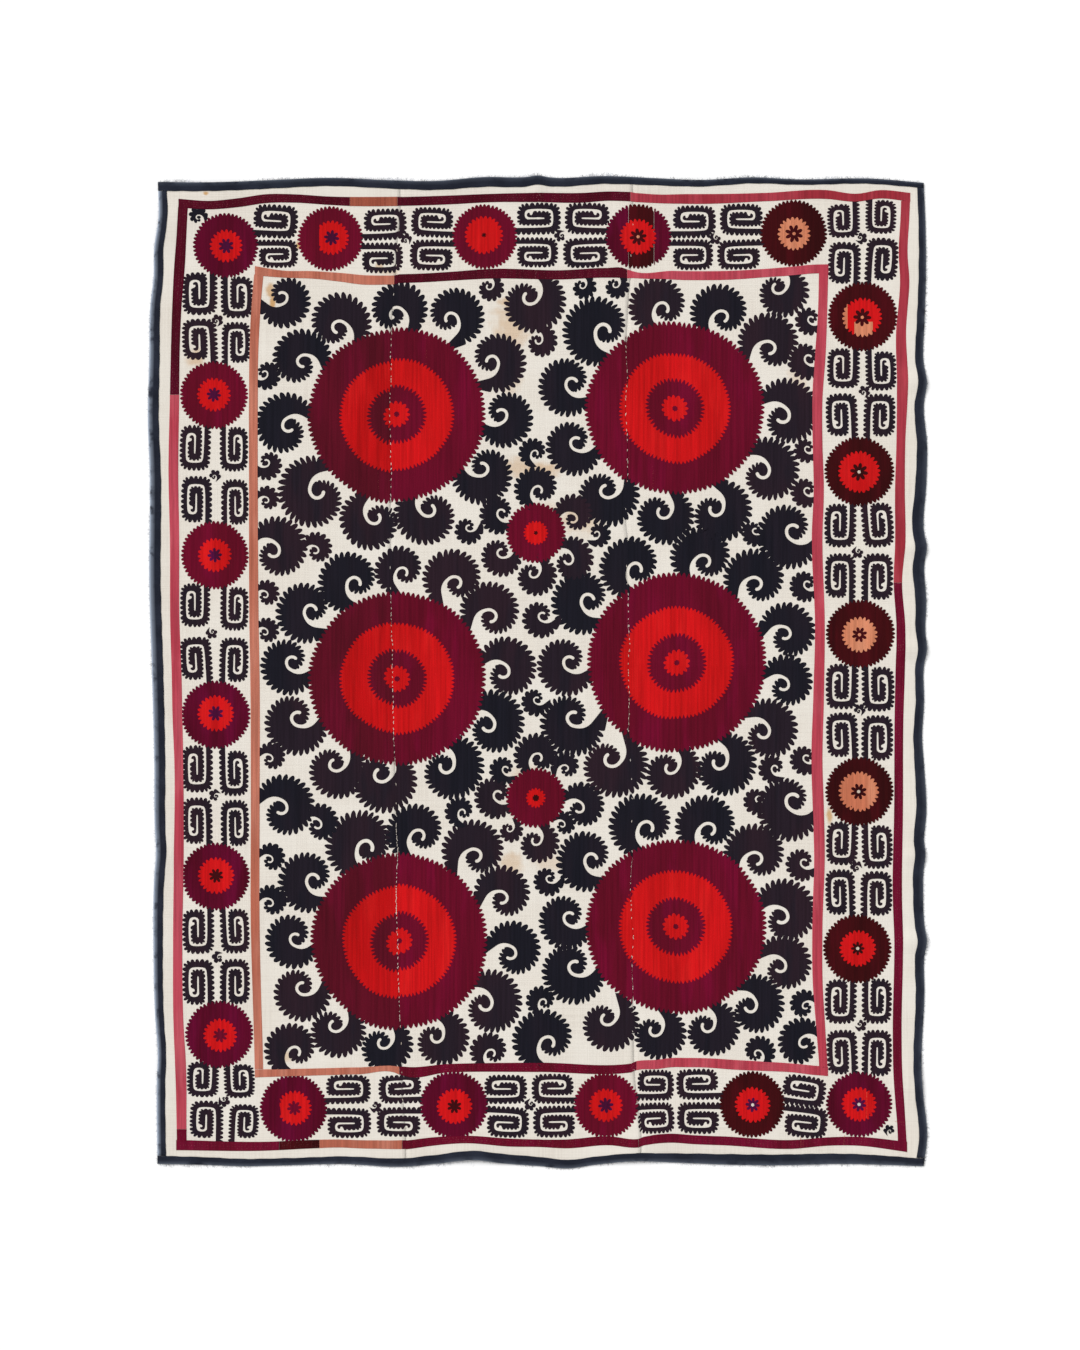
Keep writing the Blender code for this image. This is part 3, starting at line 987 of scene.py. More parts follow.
def toothed(path, pitch, depth, shape=FINGER, lean=0.0, steps=8, closed=False, dice=None):
    """Cuts teeth into a path of tips with its inside on its left. Pitch and depth are values at each point."""
    gaps = np.linalg.norm(np.diff(path, axis=0), axis=1)
    length = np.concatenate([[0], np.cumsum(gaps)])
    pitch = np.broadcast_to(pitch, length.shape)
    depth = np.broadcast_to(depth, length.shape)
    phase = np.concatenate([[0], np.cumsum(gaps / (0.5 * (pitch[1:] + pitch[:-1])))])
    teeth = max(1, round(phase[-1]))
    phase *= teeth / phase[-1]
    wanted = np.arange(teeth * steps + (0 if closed else 1)) / steps
    if dice is not None:
        nudge = dice.normal(0, 0.055, teeth + 1)
        nudge[0] = nudge[-1] = 0
        wanted_place = wanted + np.interp(wanted, np.arange(teeth + 1), nudge)
        deeper = dice.normal(1, 0.10, teeth + 1)
    else:
        wanted_place = wanted
        deeper = np.ones(teeth + 1)
    place = np.interp(wanted_place, phase, length)
    tip = np.column_stack([np.interp(place, length, path[:, k]) for k in (0, 1)])
    after = np.column_stack([np.interp(place + 1.5 * MM, length, path[:, k]) for k in (0, 1)])
    before = np.column_stack([np.interp(place - 1.5 * MM, length, path[:, k]) for k in (0, 1)])
    along = after - before
    along /= np.linalg.norm(along, axis=1)[:, None] + 1e-12
    inward = np.column_stack([-along[:, 1], along[:, 0]])
    bump = np.abs(np.sin(math.pi * wanted)) ** shape
    size = np.interp(place, length, depth) * np.interp(wanted, np.arange(teeth + 1), deeper)
    return tip + (size * (1 - bump))[:, None] * inward + (lean * size * bump)[:, None] * along


def disc(middle, radius_x, radius_y, pitch, depth, dice, steps=6):
    """A toothed round outline."""
    turn = np.linspace(0, 2 * math.pi, 241)
    start = dice.uniform(0, 2 * math.pi)
    path = np.column_stack([
        middle[0] + radius_x * np.cos(turn + start),
        middle[1] + radius_y * np.sin(turn + start),
    ])
    wobble = 1 + 0.006 * np.sin(2 * turn + start) + 0.004 * np.sin(5 * turn)
    wobble += 0.003 * np.sin(9 * turn + 2 * start)
    path = np.array(middle) + (path - np.array(middle)) * wobble[:, None]
    return toothed(path, pitch, depth, shape=POINT, steps=steps, closed=True, dice=dice)


def at(x, y):
    """A place from the tables in millimetres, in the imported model's metres."""
    return ((x + SHIFT_X) * MM, (y + SHIFT_Y) * MM)


print("a small disc has", len(disc((0, 0), 0.07, 0.07, 0.01, 0.006, np.random.default_rng(1))), "points")

# %% [markdown]
# ## Finishes of the stitching
# The thread is silk and fine cotton laid straight up the cloth, in bundles a few millimetres wide that
# took the dye differently. So the colour changes from one upright stripe to the next, and drifts slowly
# over a hand's width; across the threads run rows of little slanting stitches. Silk is smoother than
# cotton, so it gets a soft sheen.

# %% Threads laid up the cloth
LAID_THREAD = 0.95 * MM
COUCHING = 3.2 * MM


def stitched(name, main, drift, stripe, roughness=0.72, sheen=0.03):
    """Laid and couched thread in one colour that drifts to a second, with stripes towards a third."""
    finish = Finish(name, roughness=roughness, sheen=sheen, sheen_roughness=0.4, specular=0.06)
    bundles = finish.noise(finish.stretched(190, 5.0), 1.0, detail=3.0, roughness=0.6)
    clouds = finish.noise(finish.stretched(26, 5.5), 1.0, detail=3.0)
    wide = finish.noise(finish.stretched(9, 2.2), 1.0, detail=2.0)
    base = finish.mix(finish.steps(wide, 0.42, 0.60), main, drift)
    base = finish.mix(finish.sum(finish.steps(clouds, 0.50, 0.68), 0.6, "MULTIPLY"), base, stripe)
    shade = finish.steps(bundles, 0.30, 0.72)
    base = finish.mix(finish.sum(finish.sum(shade, 0.28, "MULTIPLY"), 0.07), base, (0.0, 0.0, 0.0, 1.0))
    threads = thread_waves(finish, "X", LAID_THREAD, distortion=2.5)
    ties = thread_waves(finish, "DIAGONAL", COUCHING, distortion=3.0)
    relief = finish.sum(finish.sum(threads, 0.7, "MULTIPLY"), finish.sum(ties, 0.3, "MULTIPLY"))
    return finish.close(base, relief, strength=0.7, distance=0.0005)


THREADS = {
    "black": stitched("thread_black", colour(39, 29, 39), colour(46, 30, 40), colour(31, 28, 38)),
    "blue_black": stitched("thread_blue_black", colour(27, 26, 36), colour(34, 28, 38), colour(22, 23, 33)),
    "maroon": stitched("thread_maroon", colour(112, 8, 40), colour(102, 8, 34), colour(124, 6, 50)),
    "dark_maroon": stitched(
        "thread_dark_maroon", colour(98, 12, 34), colour(88, 12, 30), colour(110, 10, 42)
    ),
    "wine": stitched("thread_wine", colour(88, 8, 32), colour(78, 6, 26), colour(98, 8, 40)),
    "crimson": stitched("thread_crimson", colour(98, 4, 40), colour(84, 4, 30), colour(112, 6, 54)),
    "brown": stitched("thread_brown", colour(68, 8, 14), colour(55, 7, 10), colour(84, 8, 20)),
    "red": stitched("thread_red", colour(220, 20, 24), colour(206, 18, 20), colour(226, 30, 30)),
    "dark_red": stitched("thread_dark_red", colour(206, 16, 20), colour(192, 14, 16), colour(214, 26, 26)),
    "salmon": stitched("thread_salmon", colour(226, 142, 106), colour(210, 122, 90), colour(232, 156, 122)),
    "coral": stitched("thread_coral", colour(204, 124, 102), colour(190, 108, 86), colour(212, 136, 114)),
    "rust": stitched("thread_rust", colour(168, 88, 68), colour(152, 74, 56), colour(180, 102, 80)),
    "rose": stitched("thread_rose", colour(202, 82, 98), colour(192, 68, 84), colour(210, 98, 110)),
    "deep_rose": stitched("thread_deep_rose", colour(178, 60, 74), colour(166, 50, 62), colour(190, 74, 86)),
    "raspberry": stitched("thread_raspberry", colour(116, 12, 46), colour(106, 10, 38), colour(128, 18, 54)),
    "purple": stitched("thread_purple", colour(84, 10, 62), colour(70, 10, 48), colour(98, 12, 76)),
    "speck": stitched("thread_speck", colour(190, 132, 132), colour(166, 100, 106), colour(206, 160, 154)),
    "white": stitched("thread_white", colour(232, 222, 210), colour(220, 204, 186), colour(238, 232, 224)),
}
print(len(THREADS), "thread colours")

# %% [markdown]
# ## Medallions
# The six large medallions are rings within rings. On the real cloth each colour is worked up against the
# next. Here each disc is laid on the one before, a fifth of a millimetre higher, which hides the joins
# and keeps every edge toothed.

# %% Six medallions and two small ones
# Columns: across, up, radius across, radius up, red ring, inner ring, heart.
MEDALLIONS = [
    (-312, 567, 192, 190, 124, 63, 28),
    (300, 579, 195, 187, 121, 63, 28),
    (-311, -15, 192, 190, 124, 63, 28),
    (304, 21, 195, 193, 124, 63, 28),
    (-306, -591, 192, 191, 124, 63, 28),
    (302, -561, 195, 191, 124, 63, 28),
]
# Columns: across, up, radius, heart, middle.
SMALL_MEDALLIONS = [(-6, 306, 64, 28, 5), (-6, -277, 64, 23, 8)]

# The layer of each disc of a medallion, which is how many threads deep it lies.
RING_LAYER = 1.8
RED_LAYER = 2.8
INNER_LAYER = 3.8
HEART_LAYER = 4.8
DOT_LAYER = 5.8
LEAF_LAYER = 1.2

medallions = Embroidery("stitched_medallions")
dice = np.random.default_rng(31)


def worked_in_parts(piece, loop, x, left_thread, right_thread, layer, over):
    """Lays a disc in two parts, one on each breadth, each in its own thread."""
    line = seam_line(LEFT_SEAM if x < 0 else RIGHT_SEAM)
    for side, thread in ((-1, left_thread), (1, right_thread)):
        part = one_side(loop, line, side)
        if part is not None:
            piece.patch(part, THREADS[thread], layer, over)


for x, y, radius_x, radius_y, red, inner, heart in MEDALLIONS:
    middle = at(x, y)
    dark_ring = "dark_maroon" if x < 0 else "maroon"
    dark_heart = "dark_red" if x < 0 else "red"
    ring_loop = disc(middle, (radius_x + 4.2) * MM, (radius_y + 4.2) * MM, 11.4 * MM, 9.5 * MM, dice)
    worked_in_parts(medallions, ring_loop, x, dark_ring, "maroon", RING_LAYER, 0)
    red_loop = disc(middle, (red + 3.6) * MM, (red + 1.8) * MM, 8.8 * MM, 8 * MM, dice)
    worked_in_parts(medallions, red_loop, x, dark_heart, "red", RED_LAYER, RING_LAYER)
    inner_loop = disc(middle, (inner + 4) * MM, (inner + 4) * MM, 9.3 * MM, 9.5 * MM, dice)
    worked_in_parts(medallions, inner_loop, x, dark_ring, "maroon", INNER_LAYER, RED_LAYER)
    heart_loop = disc(middle, (heart + 2.5) * MM, (heart + 2.5) * MM, 12.5 * MM, 7 * MM, dice)
    worked_in_parts(medallions, heart_loop, x, dark_heart, "red", HEART_LAYER, INNER_LAYER)
    dot_loop = disc(middle, 6.5 * MM, 6.5 * MM, 5 * MM, 1.5 * MM, dice)
    medallions.patch(dot_loop, THREADS["maroon"], DOT_LAYER, HEART_LAYER)
for x, y, radius, heart, centre in SMALL_MEDALLIONS:
    middle = at(x, y)
    ring_loop = disc(middle, (radius + 3) * MM, (radius + 3) * MM, 10.5 * MM, 7 * MM, dice)
    medallions.patch(ring_loop, THREADS["maroon"], RING_LAYER)
    heart_loop = disc(middle, heart * MM, heart * MM, 9 * MM, 5 * MM, dice)
    medallions.patch(heart_loop, THREADS["red"], RED_LAYER, RING_LAYER)
    dot_loop = disc(middle, centre * MM, centre * MM, 6 * MM, 2 * MM, dice)
    medallions.patch(dot_loop, THREADS["brown"], INNER_LAYER, RED_LAYER)
medallions.finish_piece()

# %% [markdown]
# ## Rosettes of the border
# A rosette is a toothed disc with a bright toothed heart and a small star. No two are dyed alike: the
# ring runs from crimson to a brown so dark that it is nearly black, and some hearts are salmon. The table
# keeps what each one has.

# %% Twenty rosettes from a table
# Columns: across, up, radius, heart across, heart up, heart radius, ring, heart, star radius, star, dot.
ROSETTES = [
    (-688, 938, 69, -687, 937, 35, "crimson", "red", 16, "purple", None),
    (-458, 953, 69, -455, 955, 37, "maroon", "red", 16, "purple", None),
    (-118, 957, 69, -120, 961, 41, "maroon", "red", 4, "brown", None),
    (220, 958, 70, 219, 957, 39, "brown", "red", 18, "brown", "salmon"),
    (561, 965, 71, 562, 964, 35, "brown", "salmon", 19, "brown", "salmon"),
    (713, 782, 74, 712, 780, 42, "brown", "red", 19, "brown", "salmon"),
    (706, 441, 74, 705, 440, 45, "brown", "red", 19, "brown", "white"),
    (708, 84, 73, 706, 82, 38, "brown", "salmon", 16, "brown", "salmon"),
    (706, -263, 73, 704, -263, 43, "brown", "salmon", 17, "brown", "white"),
    (701, -609, 73, 702, -608, 39, "brown", "red", 14, "brown", "white"),
    (705, -951, 70, 705, -951, 37, "crimson", "red", 15, "purple", "white"),
    (470, -951, 70, 471, -952, 38, "brown", "red", 15, "purple", "white"),
    (149, -953, 69, 148, -953, 36, "maroon", "red", 16, "purple", None),
    (-186, -952, 72, -185, -955, 38, "crimson", "red", 15, "brown", None),
    (-539, -960, 72, -537, -959, 37, "crimson", "red", 15, "maroon", None),
    (-702, -797, 72, -700, -799, 36, "crimson", "red", 15, "maroon", None),
    (-710, -450, 72, -709, -448, 39, "crimson", "red", 15, "brown", None),
    (-710, -94, 73, -710, -91, 39, "crimson", "red", 16, "purple", None),
    (-712, 257, 72, -712, 257, 36, "maroon", "red", 15, "purple", None),
    (-714, 609, 72, -714, 610, 36, "maroon", "red", 15, "purple", None),
]


# Columns: rosette's place across, threads of its ring and where each one starts across the cloth.
RING_CHANGES = {(220, 958): [("crimson", -900), ("brown", 198), ("crimson", 254)]}
# Two hearts are cut straight on their left, at these places across.
FLAT_HEARTS = {(-455, 955): -483, (-537, -959): -570}
# One heart has salmon thread down its left and in its lower middle: the lines that bound those two parts.
PATCHED_HEART = (712, 780)
PATCH_LEFT = 680
PATCH_MIDDLE = (694, 736)
PATCH_TOP = 771
PETALS = 8


def star(middle, radius, dice):
    """A small flower with blunt petals."""
    start = dice.uniform(0, 2 * math.pi)
    turn = np.linspace(0, 2 * math.pi, PETALS * 10, endpoint=False)
    reach = radius * (0.52 + 0.48 * np.abs(np.sin(0.5 * PETALS * turn)) ** 0.7)
    turn = turn + start
    return np.column_stack([middle[0] + reach * np.cos(turn), middle[1] + reach * np.sin(turn)])


rosettes = Embroidery("stitched_rosettes")
dice = np.random.default_rng(37)
for x, y, radius, heart_x, heart_y, heart, ring, heart_thread, star_radius, star_thread, dot in ROSETTES:
    ring_loop = disc(at(x, y), (radius + 3.6) * MM, (radius + 3.6) * MM, 9.6 * MM, 6.5 * MM, dice)
    changes = RING_CHANGES.get((x, y), [(ring, -900)])
    for (thread, low), (_, high) in zip(changes, changes[1:] + [(None, 900)]):
        part = one_side(ring_loop, upright_line(low), 1)
        rosettes.patch(one_side(part, upright_line(high), -1), THREADS[thread], 1)
    middle = at(heart_x, heart_y)
    heart_loop = disc(middle, (heart + 2.5) * MM, (heart + 2.5) * MM, 11 * MM, 7 * MM, dice)
    if (heart_x, heart_y) in FLAT_HEARTS:
        heart_loop = one_side(heart_loop, upright_line(FLAT_HEARTS[heart_x, heart_y]), 1)
    rosettes.patch(heart_loop, THREADS[heart_thread], 2, 1)
    if (heart_x, heart_y) == PATCHED_HEART:
        low = one_side(heart_loop, upright_line(PATCH_MIDDLE[0]), 1)
        low = one_side(low, upright_line(PATCH_MIDDLE[1]), -1)
        low = one_side(low[:, ::-1], lambda x: np.full_like(x, (PATCH_TOP + SHIFT_Y) * MM), -1)[:, ::-1]
        for part in (one_side(heart_loop, upright_line(PATCH_LEFT), -1), low):
            rosettes.patch(part, THREADS["salmon"], 2.5, 1)
    rosettes.patch(star(middle, (star_radius + 1.5) * MM, dice), THREADS[star_thread], 3, 2)
    if dot:
        rosettes.patch(disc(middle, 3.8 * MM, 3.8 * MM, 5 * MM, 0.4 * MM, dice), THREADS[dot], 4, 3)
rosettes.finish_piece()

# %% [markdown]
# ## Curled leaves
# The field is filled with leaves that curl like a fern: a broad band springs from a medallion, turns once
# and a half about a small eye, and grows narrower as it goes. Its outer side carries long finger teeth,
# its inner side is smooth, and a strip of bare cloth is left between one turn and the next. Seen from the
# eye, a leaf is one curve of radius against turns. The table below is that curve for every leaf, and only
# its place, size and first direction differ.

# %% The curve of a leaf
# Columns: turns from the base, radius of the finger tips as a share of the leaf's radius.
LEAF_CURVE = [
    (-0.10, 0.74), (0.0, 0.86), (0.09, 0.95), (0.2, 1.0), (0.35, 0.96), (0.42, 0.90), (0.49, 0.81),
    (0.56, 0.71), (0.63, 0.60),
    (0.70, 0.50), (0.77, 0.41), (0.87, 0.30), (1.0, 0.23), (1.15, 0.165), (1.3, 0.15), (1.45, 0.155),
    (1.6, 0.13),
    (1.75, 0.095),
]
# Columns: turns from the base, width of the bare strip inside the band there, as a share of the leaf's
# radius.
LEAF_STRIP = [(-0.10, 0.25), (0.0, 0.155), (0.1, 0.095), (0.25, 0.078), (0.45, 0.077), (0.75, 0.085)]
LEAF_BASE = -0.05
LEAF_END = 1.68
# How far the base runs on under the medallion or band that it grows from, as a share of the leaf's radius.
STEM_SHARE = 0.40
FINGER_PITCH = 15.5 * MM
# How much sooner or later a leaf has curled half way in, in turns.
CURL = {"": 0.0, "slow": -0.09, "fast": 0.09}


def read_curve(table, turns):
    """A table's second column at places of its first, smooth and without units."""
    return smooth_between(table, np.asarray(turns) * MM) / MM


def leaf(eye, radius, base, hand, curl, dice):
    """The outline of one curled leaf; hand is 1 where it turns anticlockwise from its base."""
    turns = np.linspace(LEAF_BASE, LEAF_END, 260)
    warped = turns + CURL[curl] * np.sin(math.pi * np.clip(turns, 0, 1))
    reach = read_curve(LEAF_CURVE, warped)
    angle = 2 * math.pi * turns
    tips = radius * reach[:, None] * np.column_stack([np.cos(angle), np.sin(angle)])
    pitch = FINGER_PITCH * (0.62 + 0.38 * reach)
    depth = (3.0 * MM + 0.132 * radius) * (0.42 + 0.58 * reach) * (1 - ease((turns - 0.90) / 0.16))
    fingers = toothed(tips, pitch, depth, lean=0.25, dice=dice)[4:]
    back = np.linspace(LEAF_END - 1, LEAF_BASE, 46)
    wall = read_curve(LEAF_CURVE, back + 1) + read_curve(LEAF_STRIP, back)
    angle = 2 * math.pi * back
    strip = radius * wall[:, None] * np.column_stack([np.cos(angle), np.sin(angle)])
    end = fingers[-1]
    middle = 0.5 * (end + strip[0])
    spoke = strip[0] - middle
    across = np.array([-spoke[1], spoke[0]])
    cap = [middle + spoke * math.cos(t) + across * math.sin(t) for t in (2.5, 1.95, 1.4, 0.8)]
    start = 2 * math.pi * LEAF_BASE
    outward = np.array([math.cos(start), math.sin(start)])
    backward = np.array([math.sin(start), -math.cos(start)])
    stem_length = STEM_SHARE * radius
    stem = [strip[-1] + stem_length * (backward + 0.5 * outward), fingers[0] + stem_length * backward]
    outline = np.concatenate([fingers, np.array(cap), strip, np.array(stem)])
    if hand < 0:
        outline = outline * np.array([1, -1])
    turn = math.radians(base)
    spin = np.array([[math.cos(turn), math.sin(turn)], [-math.sin(turn), math.cos(turn)]])
    return outline @ spin + np.array(eye)


trial_leaf = leaf((0, 0), 0.08, 0, 1, "", np.random.default_rng(2))
print("a leaf has", len(trial_leaf), "points and covers", round(area_of(trial_leaf) * 1e6), "square mm")

# %% [markdown]
# A leaf that grows from the edge of the field starts under the stitched band there, so it must not come
# out on the far side of the band. The band's own lines are measured first: place along it, outer line,
# inner line. A leaf's points that lie past the middle of the band are brought back to it, where the band
# hides them.

# %% The band round the field keeps the leaves in
# Columns: place along, outer line, inner line.
FIELD_BAND = {
    "left": [
        (-892, -624, -605), (-800, -626, -607), (-740, -628, -609), (-560, -633, -613), (-300, -633, -613),
        (-20, -634, -613), (100, -636, -615), (400, -637, -617), (600, -637, -617), (700, -636, -616),
        (800, -632, -611), (893, -624, -603),
    ],
    "right": [
        (-889, 637, 618), (-850, 635, 616), (-800, 632, 612), (-750, 629, 608), (-700, 626, 604),
        (-560, 625, 602),
        (-400, 630, 606), (-300, 628, 603), (-200, 625, 600), (-60, 628, 604), (100, 630, 608),
        (300, 625, 601),
        (400, 628, 605), (500, 625, 603), (600, 625, 602), (700, 632, 608), (780, 635, 614), (897, 638, 617),
    ],
    "top": [
        (-624, 893, 872), (-560, 883, 867), (-500, 882, 865), (-400, 876, 855), (-320, 875, 855),
        (-250, 877, 857),
        (-200, 880, 860), (-100, 887, 865), (50, 884, 863), (150, 889, 867), (190, 888, 866), (200, 883, 865),
        (300, 882, 862), (430, 883, 863), (500, 887, 868), (560, 892, 872), (600, 896, 876), (638, 897, 877),
    ],
    "bottom": [
        (-624, -892, -874), (-500, -888, -872), (-400, -885, -869), (-310, -882, -865), (-300, -887, -867),
        (-200, -881, -862), (0, -880, -859), (210, -880, -860), (222, -878, -858), (260, -877, -856),
        (300, -871, -850), (360, -870, -849), (430, -875, -853), (500, -878, -857), (560, -881, -861),
        (600, -886, -865), (637, -889, -868),
    ],
}


def band_middle(side, places):
    """The middle line of the field's band, in the tables' millimetres."""
    rows = np.array(FIELD_BAND[side], float)
    return 0.5 * (read_curve(rows[:, :2], places) + read_curve(rows[:, [0, 2]], places))


def kept_in_field(loop):
    """Brings points that lie past the band back to its middle line."""
    x = loop[:, 0] / MM - SHIFT_X
    y = loop[:, 1] / MM - SHIFT_Y
    x = np.clip(x, band_middle("left", y), band_middle("right", y))
    y = np.clip(y, band_middle("bottom", x), band_middle("top", x))
    return np.column_stack([x + SHIFT_X, y + SHIFT_Y]) * MM


print("the field is", round(float(band_middle("right", 0) - band_middle("left", 0))), "mm wide at its middle")

# %% [markdown]
# The leaves stand in rings about their medallions, all turning the same way round each ring, with small
# curls in the gaps. Each row gives the eye, the radius, the direction in which the leaf leaves its base
# as an angle in degrees, and the hand of its curl.

# %% The leaves, ring by ring
# Columns: eye across, eye up, radius, base direction, hand, curl.
LEAVES = {
    "first": [
        (-438, 757, 80, -10, 1, ""), (-312, 788, 75, -20, 1, ""), (-192, 775, 76, -52, 1, ""),
        (-103, 680, 78, -84, 1, ""), (-84, 564, 76, 236, 1, ""), (-516, 683, 74, 15, 1, "slow"),
        (-548, 543, 78, 53, 1, "slow"), (-486, 400, 90, 95, 1, "slow"), (-362, 345, 80, 138, 1, ""),
        (-243, 358, 82, 154, 1, ""), (-127, 447, 81, 197, 1, ""),
    ],
    "second": [
        (143, 747, 92, 255, -1, ""), (272, 795, 78, 225, -1, ""), (402, 780, 76, 200, -1, ""),
        (505, 712, 80, 172, -1, ""), (535, 565, 88, 118, -1, ""), (492, 443, 84, 98, -1, ""),
        (390, 360, 82, 58, -1, ""), (275, 350, 74, 36, -1, "slow"), (152, 399, 82, 2, -1, ""),
        (85, 503, 75, -42, -1, ""), (75, 632, 78, -72, -1, ""),
    ],
    "third": [
        (-405, 193, 82, 246, -1, ""), (-300, 217, 65, 222, -1, ""), (-185, 195, 78, 199, -1, ""),
        (-108, 122, 78, 172, -1, ""), (-80, 2, 80, 128, -1, ""), (-112, -115, 84, 108, -1, ""),
        (-203, -205, 86, 64, -1, ""), (-345, -228, 86, 18, -1, ""), (-445, -203, 78, 12, -1, ""),
        (-527, -102, 84, -31, -1, ""), (-540, 20, 76, -55, -1, ""), (-500, 132, 80, 272, -1, ""),
    ],
    "fourth": [
        (110, 155, 84, 274, -1, ""), (213, 222, 82, 240, -1, ""), (362, 242, 80, 200, -1, ""),
        (475, 193, 80, 180, -1, ""), (540, 85, 72, 147, -1, "slow"), (537, -27, 70, 127, -1, ""),
        (493, -130, 80, 105, -1, ""), (398, -197, 84, 60, -1, ""), (292, -208, 72, 37, -1, "slow"),
        (162, -191, 88, 24, -1, ""), (80, -102, 86, -30, -1, ""), (70, 20, 78, -53, -1, ""),
    ],
    "fifth": [
        (-495, -460, 80, 275, -1, ""), (-380, -388, 92, 237, -1, ""), (-265, -362, 76, 214, -1, ""),
        (-142, -405, 82, 184, -1, ""), (-83, -497, 74, 160, -1, ""), (-64, -618, 74, 135, -1, ""),
        (-118, -728, 84, 97, -1, ""), (-224, -800, 74, 62, -1, ""), (-340, -812, 70, 27, -1, ""),
        (-446, -777, 74, 16, -1, ""), (-517, -695, 76, -17, -1, ""), (-533, -588, 70, -48, -1, "slow"),
    ],
    "sixth": [
        (117, -415, 80, 270, -1, ""), (237, -345, 86, 230, -1, ""), (373, -348, 80, 200, -1, ""),
        (476, -412, 80, 183, -1, ""), (532, -537, 86, 136, -1, ""), (530, -646, 74, 120, -1, ""),
        (465, -733, 78, 97, -1, ""), (372, -777, 74, 54, -1, ""), (257, -790, 72, 44, -1, ""),
        (152, -762, 76, 24, -1, ""), (83, -650, 84, -33, -1, ""), (70, -542, 74, -52, -1, ""),
    ],
    "between": [
        (-2, 398, 56, 225, -1, "slow"), (-8, 480, 38, 230, -1, ""), (-81, 348, 51, -75, -1, ""),
        (-152, 317, 38, -20, -1, ""), (-80, 262, 54, -17, -1, ""), (-10, 218, 54, 37, -1, ""),
        (65, 248, 58, 95, -1, ""), (74, 338, 55, 147, -1, "fast"), (128, 303, 33, -100, 1, ""),
        (10, 122, 50, -45, -1, ""), (-3, -190, 57, 214, -1, "slow"), (-72, -215, 38, -75, -1, ""),
        (58, -212, 38, 175, -1, ""), (-88, -272, 56, -64, -1, ""), (88, -298, 60, 123, -1, ""),
        (-63, -345, 32, 30, -1, ""), (-5, -370, 54, 44, -1, ""), (52, -335, 32, 120, -1, ""),
        (-3, -62, 38, -45, -1, ""), (-168, -310, 40, 240, -1, ""), (25, -455, 40, -35, -1, ""),
    ],
    "along_left": [
        (-566, 823, 70, 225, 1, ""), (-603, 655, 38, 245, 1, ""), (-600, 460, 40, 215, 1, ""),
        (-600, 378, 33, 140, -1, ""), (-585, 268, 80, 118, -1, ""), (-492, 268, 42, 140, -1, ""),
        (-602, 170, 35, 130, -1, ""), (-602, 88, 34, 125, -1, ""), (-592, -190, 38, 135, -1, ""),
        (-568, -298, 78, 130, -1, "slow"), (-487, -335, 50, 120, -1, ""), (-592, -412, 38, 135, -1, ""),
        (-592, -508, 42, 140, -1, ""), (-537, -838, 70, 222, -1, ""),
    ],
    "along_top": [
        (-108, 848, 35, 35, -1, ""), (-18, 825, 84, 32, -1, ""), (0, 730, 43, 70, -1, ""),
        (97, 850, 33, 40, -1, ""), (170, 852, 33, 30, -1, ""), (528, 846, 72, 25, -1, "fast"),
    ],
    "along_right": [
        (600, 775, 38, -65, -1, ""), (595, 688, 50, -60, -1, ""), (592, 490, 33, -60, -1, ""),
        (592, 398, 40, -60, -1, ""), (562, 308, 87, -57, -1, ""), (478, 310, 36, -25, -1, ""),
        (592, 192, 42, -62, -1, ""), (590, -190, 40, -55, -1, ""), (520, -213, 38, -90, -1, ""),
        (562, -285, 92, -58, -1, "fast"), (485, -280, 38, -40, -1, ""), (585, -420, 44, -60, -1, ""),
        (588, -734, 38, 50, 1, ""), (585, -815, 60, 55, 1, "slow"),
    ],
    "along_bottom": [
        (483, -840, 42, -30, 1, ""), (20, -818, 82, 223, -1, ""), (10, -727, 40, 226, -1, ""),
        (-105, -840, 50, 212, -1, ""),
    ],
    "corners": [(-748, 1000, 25, 10, 1, ""), (772, -1010, 15, 200, -1, "")],
}
leaf_pieces = []
dice = np.random.default_rng(41)


def dark_thread(x, y):
    """The leaves were worked from two dye lots, one a violet black and one a blue black, in loose areas."""
    lot = waves(np.array(x * MM), np.array(y * MM), 5, 0.9, 0.3, seed=12)
    return "blue_black" if lot > 0.5 else "black"


LEAF_GROUPS = {
    "stitched_leaves_head": ("first", "second", "along_top"),
    "stitched_leaves_middle": ("third", "fourth", "between", "along_left"),
    "stitched_leaves_foot": ("fifth", "sixth", "along_right", "along_bottom", "corners"),
}
# Where two leaves touch, one lies a little over the other: every second one, and the small ones over the
# big rings.
BIG_RINGS = ("first", "second", "third", "fourth", "fifth", "sixth")
for name, rings in LEAF_GROUPS.items():
    leaves = Embroidery(name)
    for ring in rings:
        for k, (x, y, radius, base, hand, curl) in enumerate(LEAVES[ring]):
            outline = leaf(at(x, y), radius * MM, base, hand, curl, dice)
            if ring != "corners":
                outline = kept_in_field(outline)
            layer = 0.4 * (k % 2) + (0.8 if ring not in BIG_RINGS else 0.0)
            leaves.patch(outline, THREADS[dark_thread(x, y)], layer)
    leaf_pieces.append(leaves.finish_piece())

# %% [markdown]
# ## Combs of the border
# Between the rosettes lie pairs of squared curls with short round teeth, like combs rolled up: a straight
# stem comes from the rosette, the band turns round four corners and ends in a hook in the middle. One
# drawing serves for all: two paths, the toothed outer side and the smooth inner side, that are stretched,
# turned and mirrored to each place in the table.

# %% One comb as two paths
COMB_LENGTH = 48.0
COMB_WIDTH = 34.0
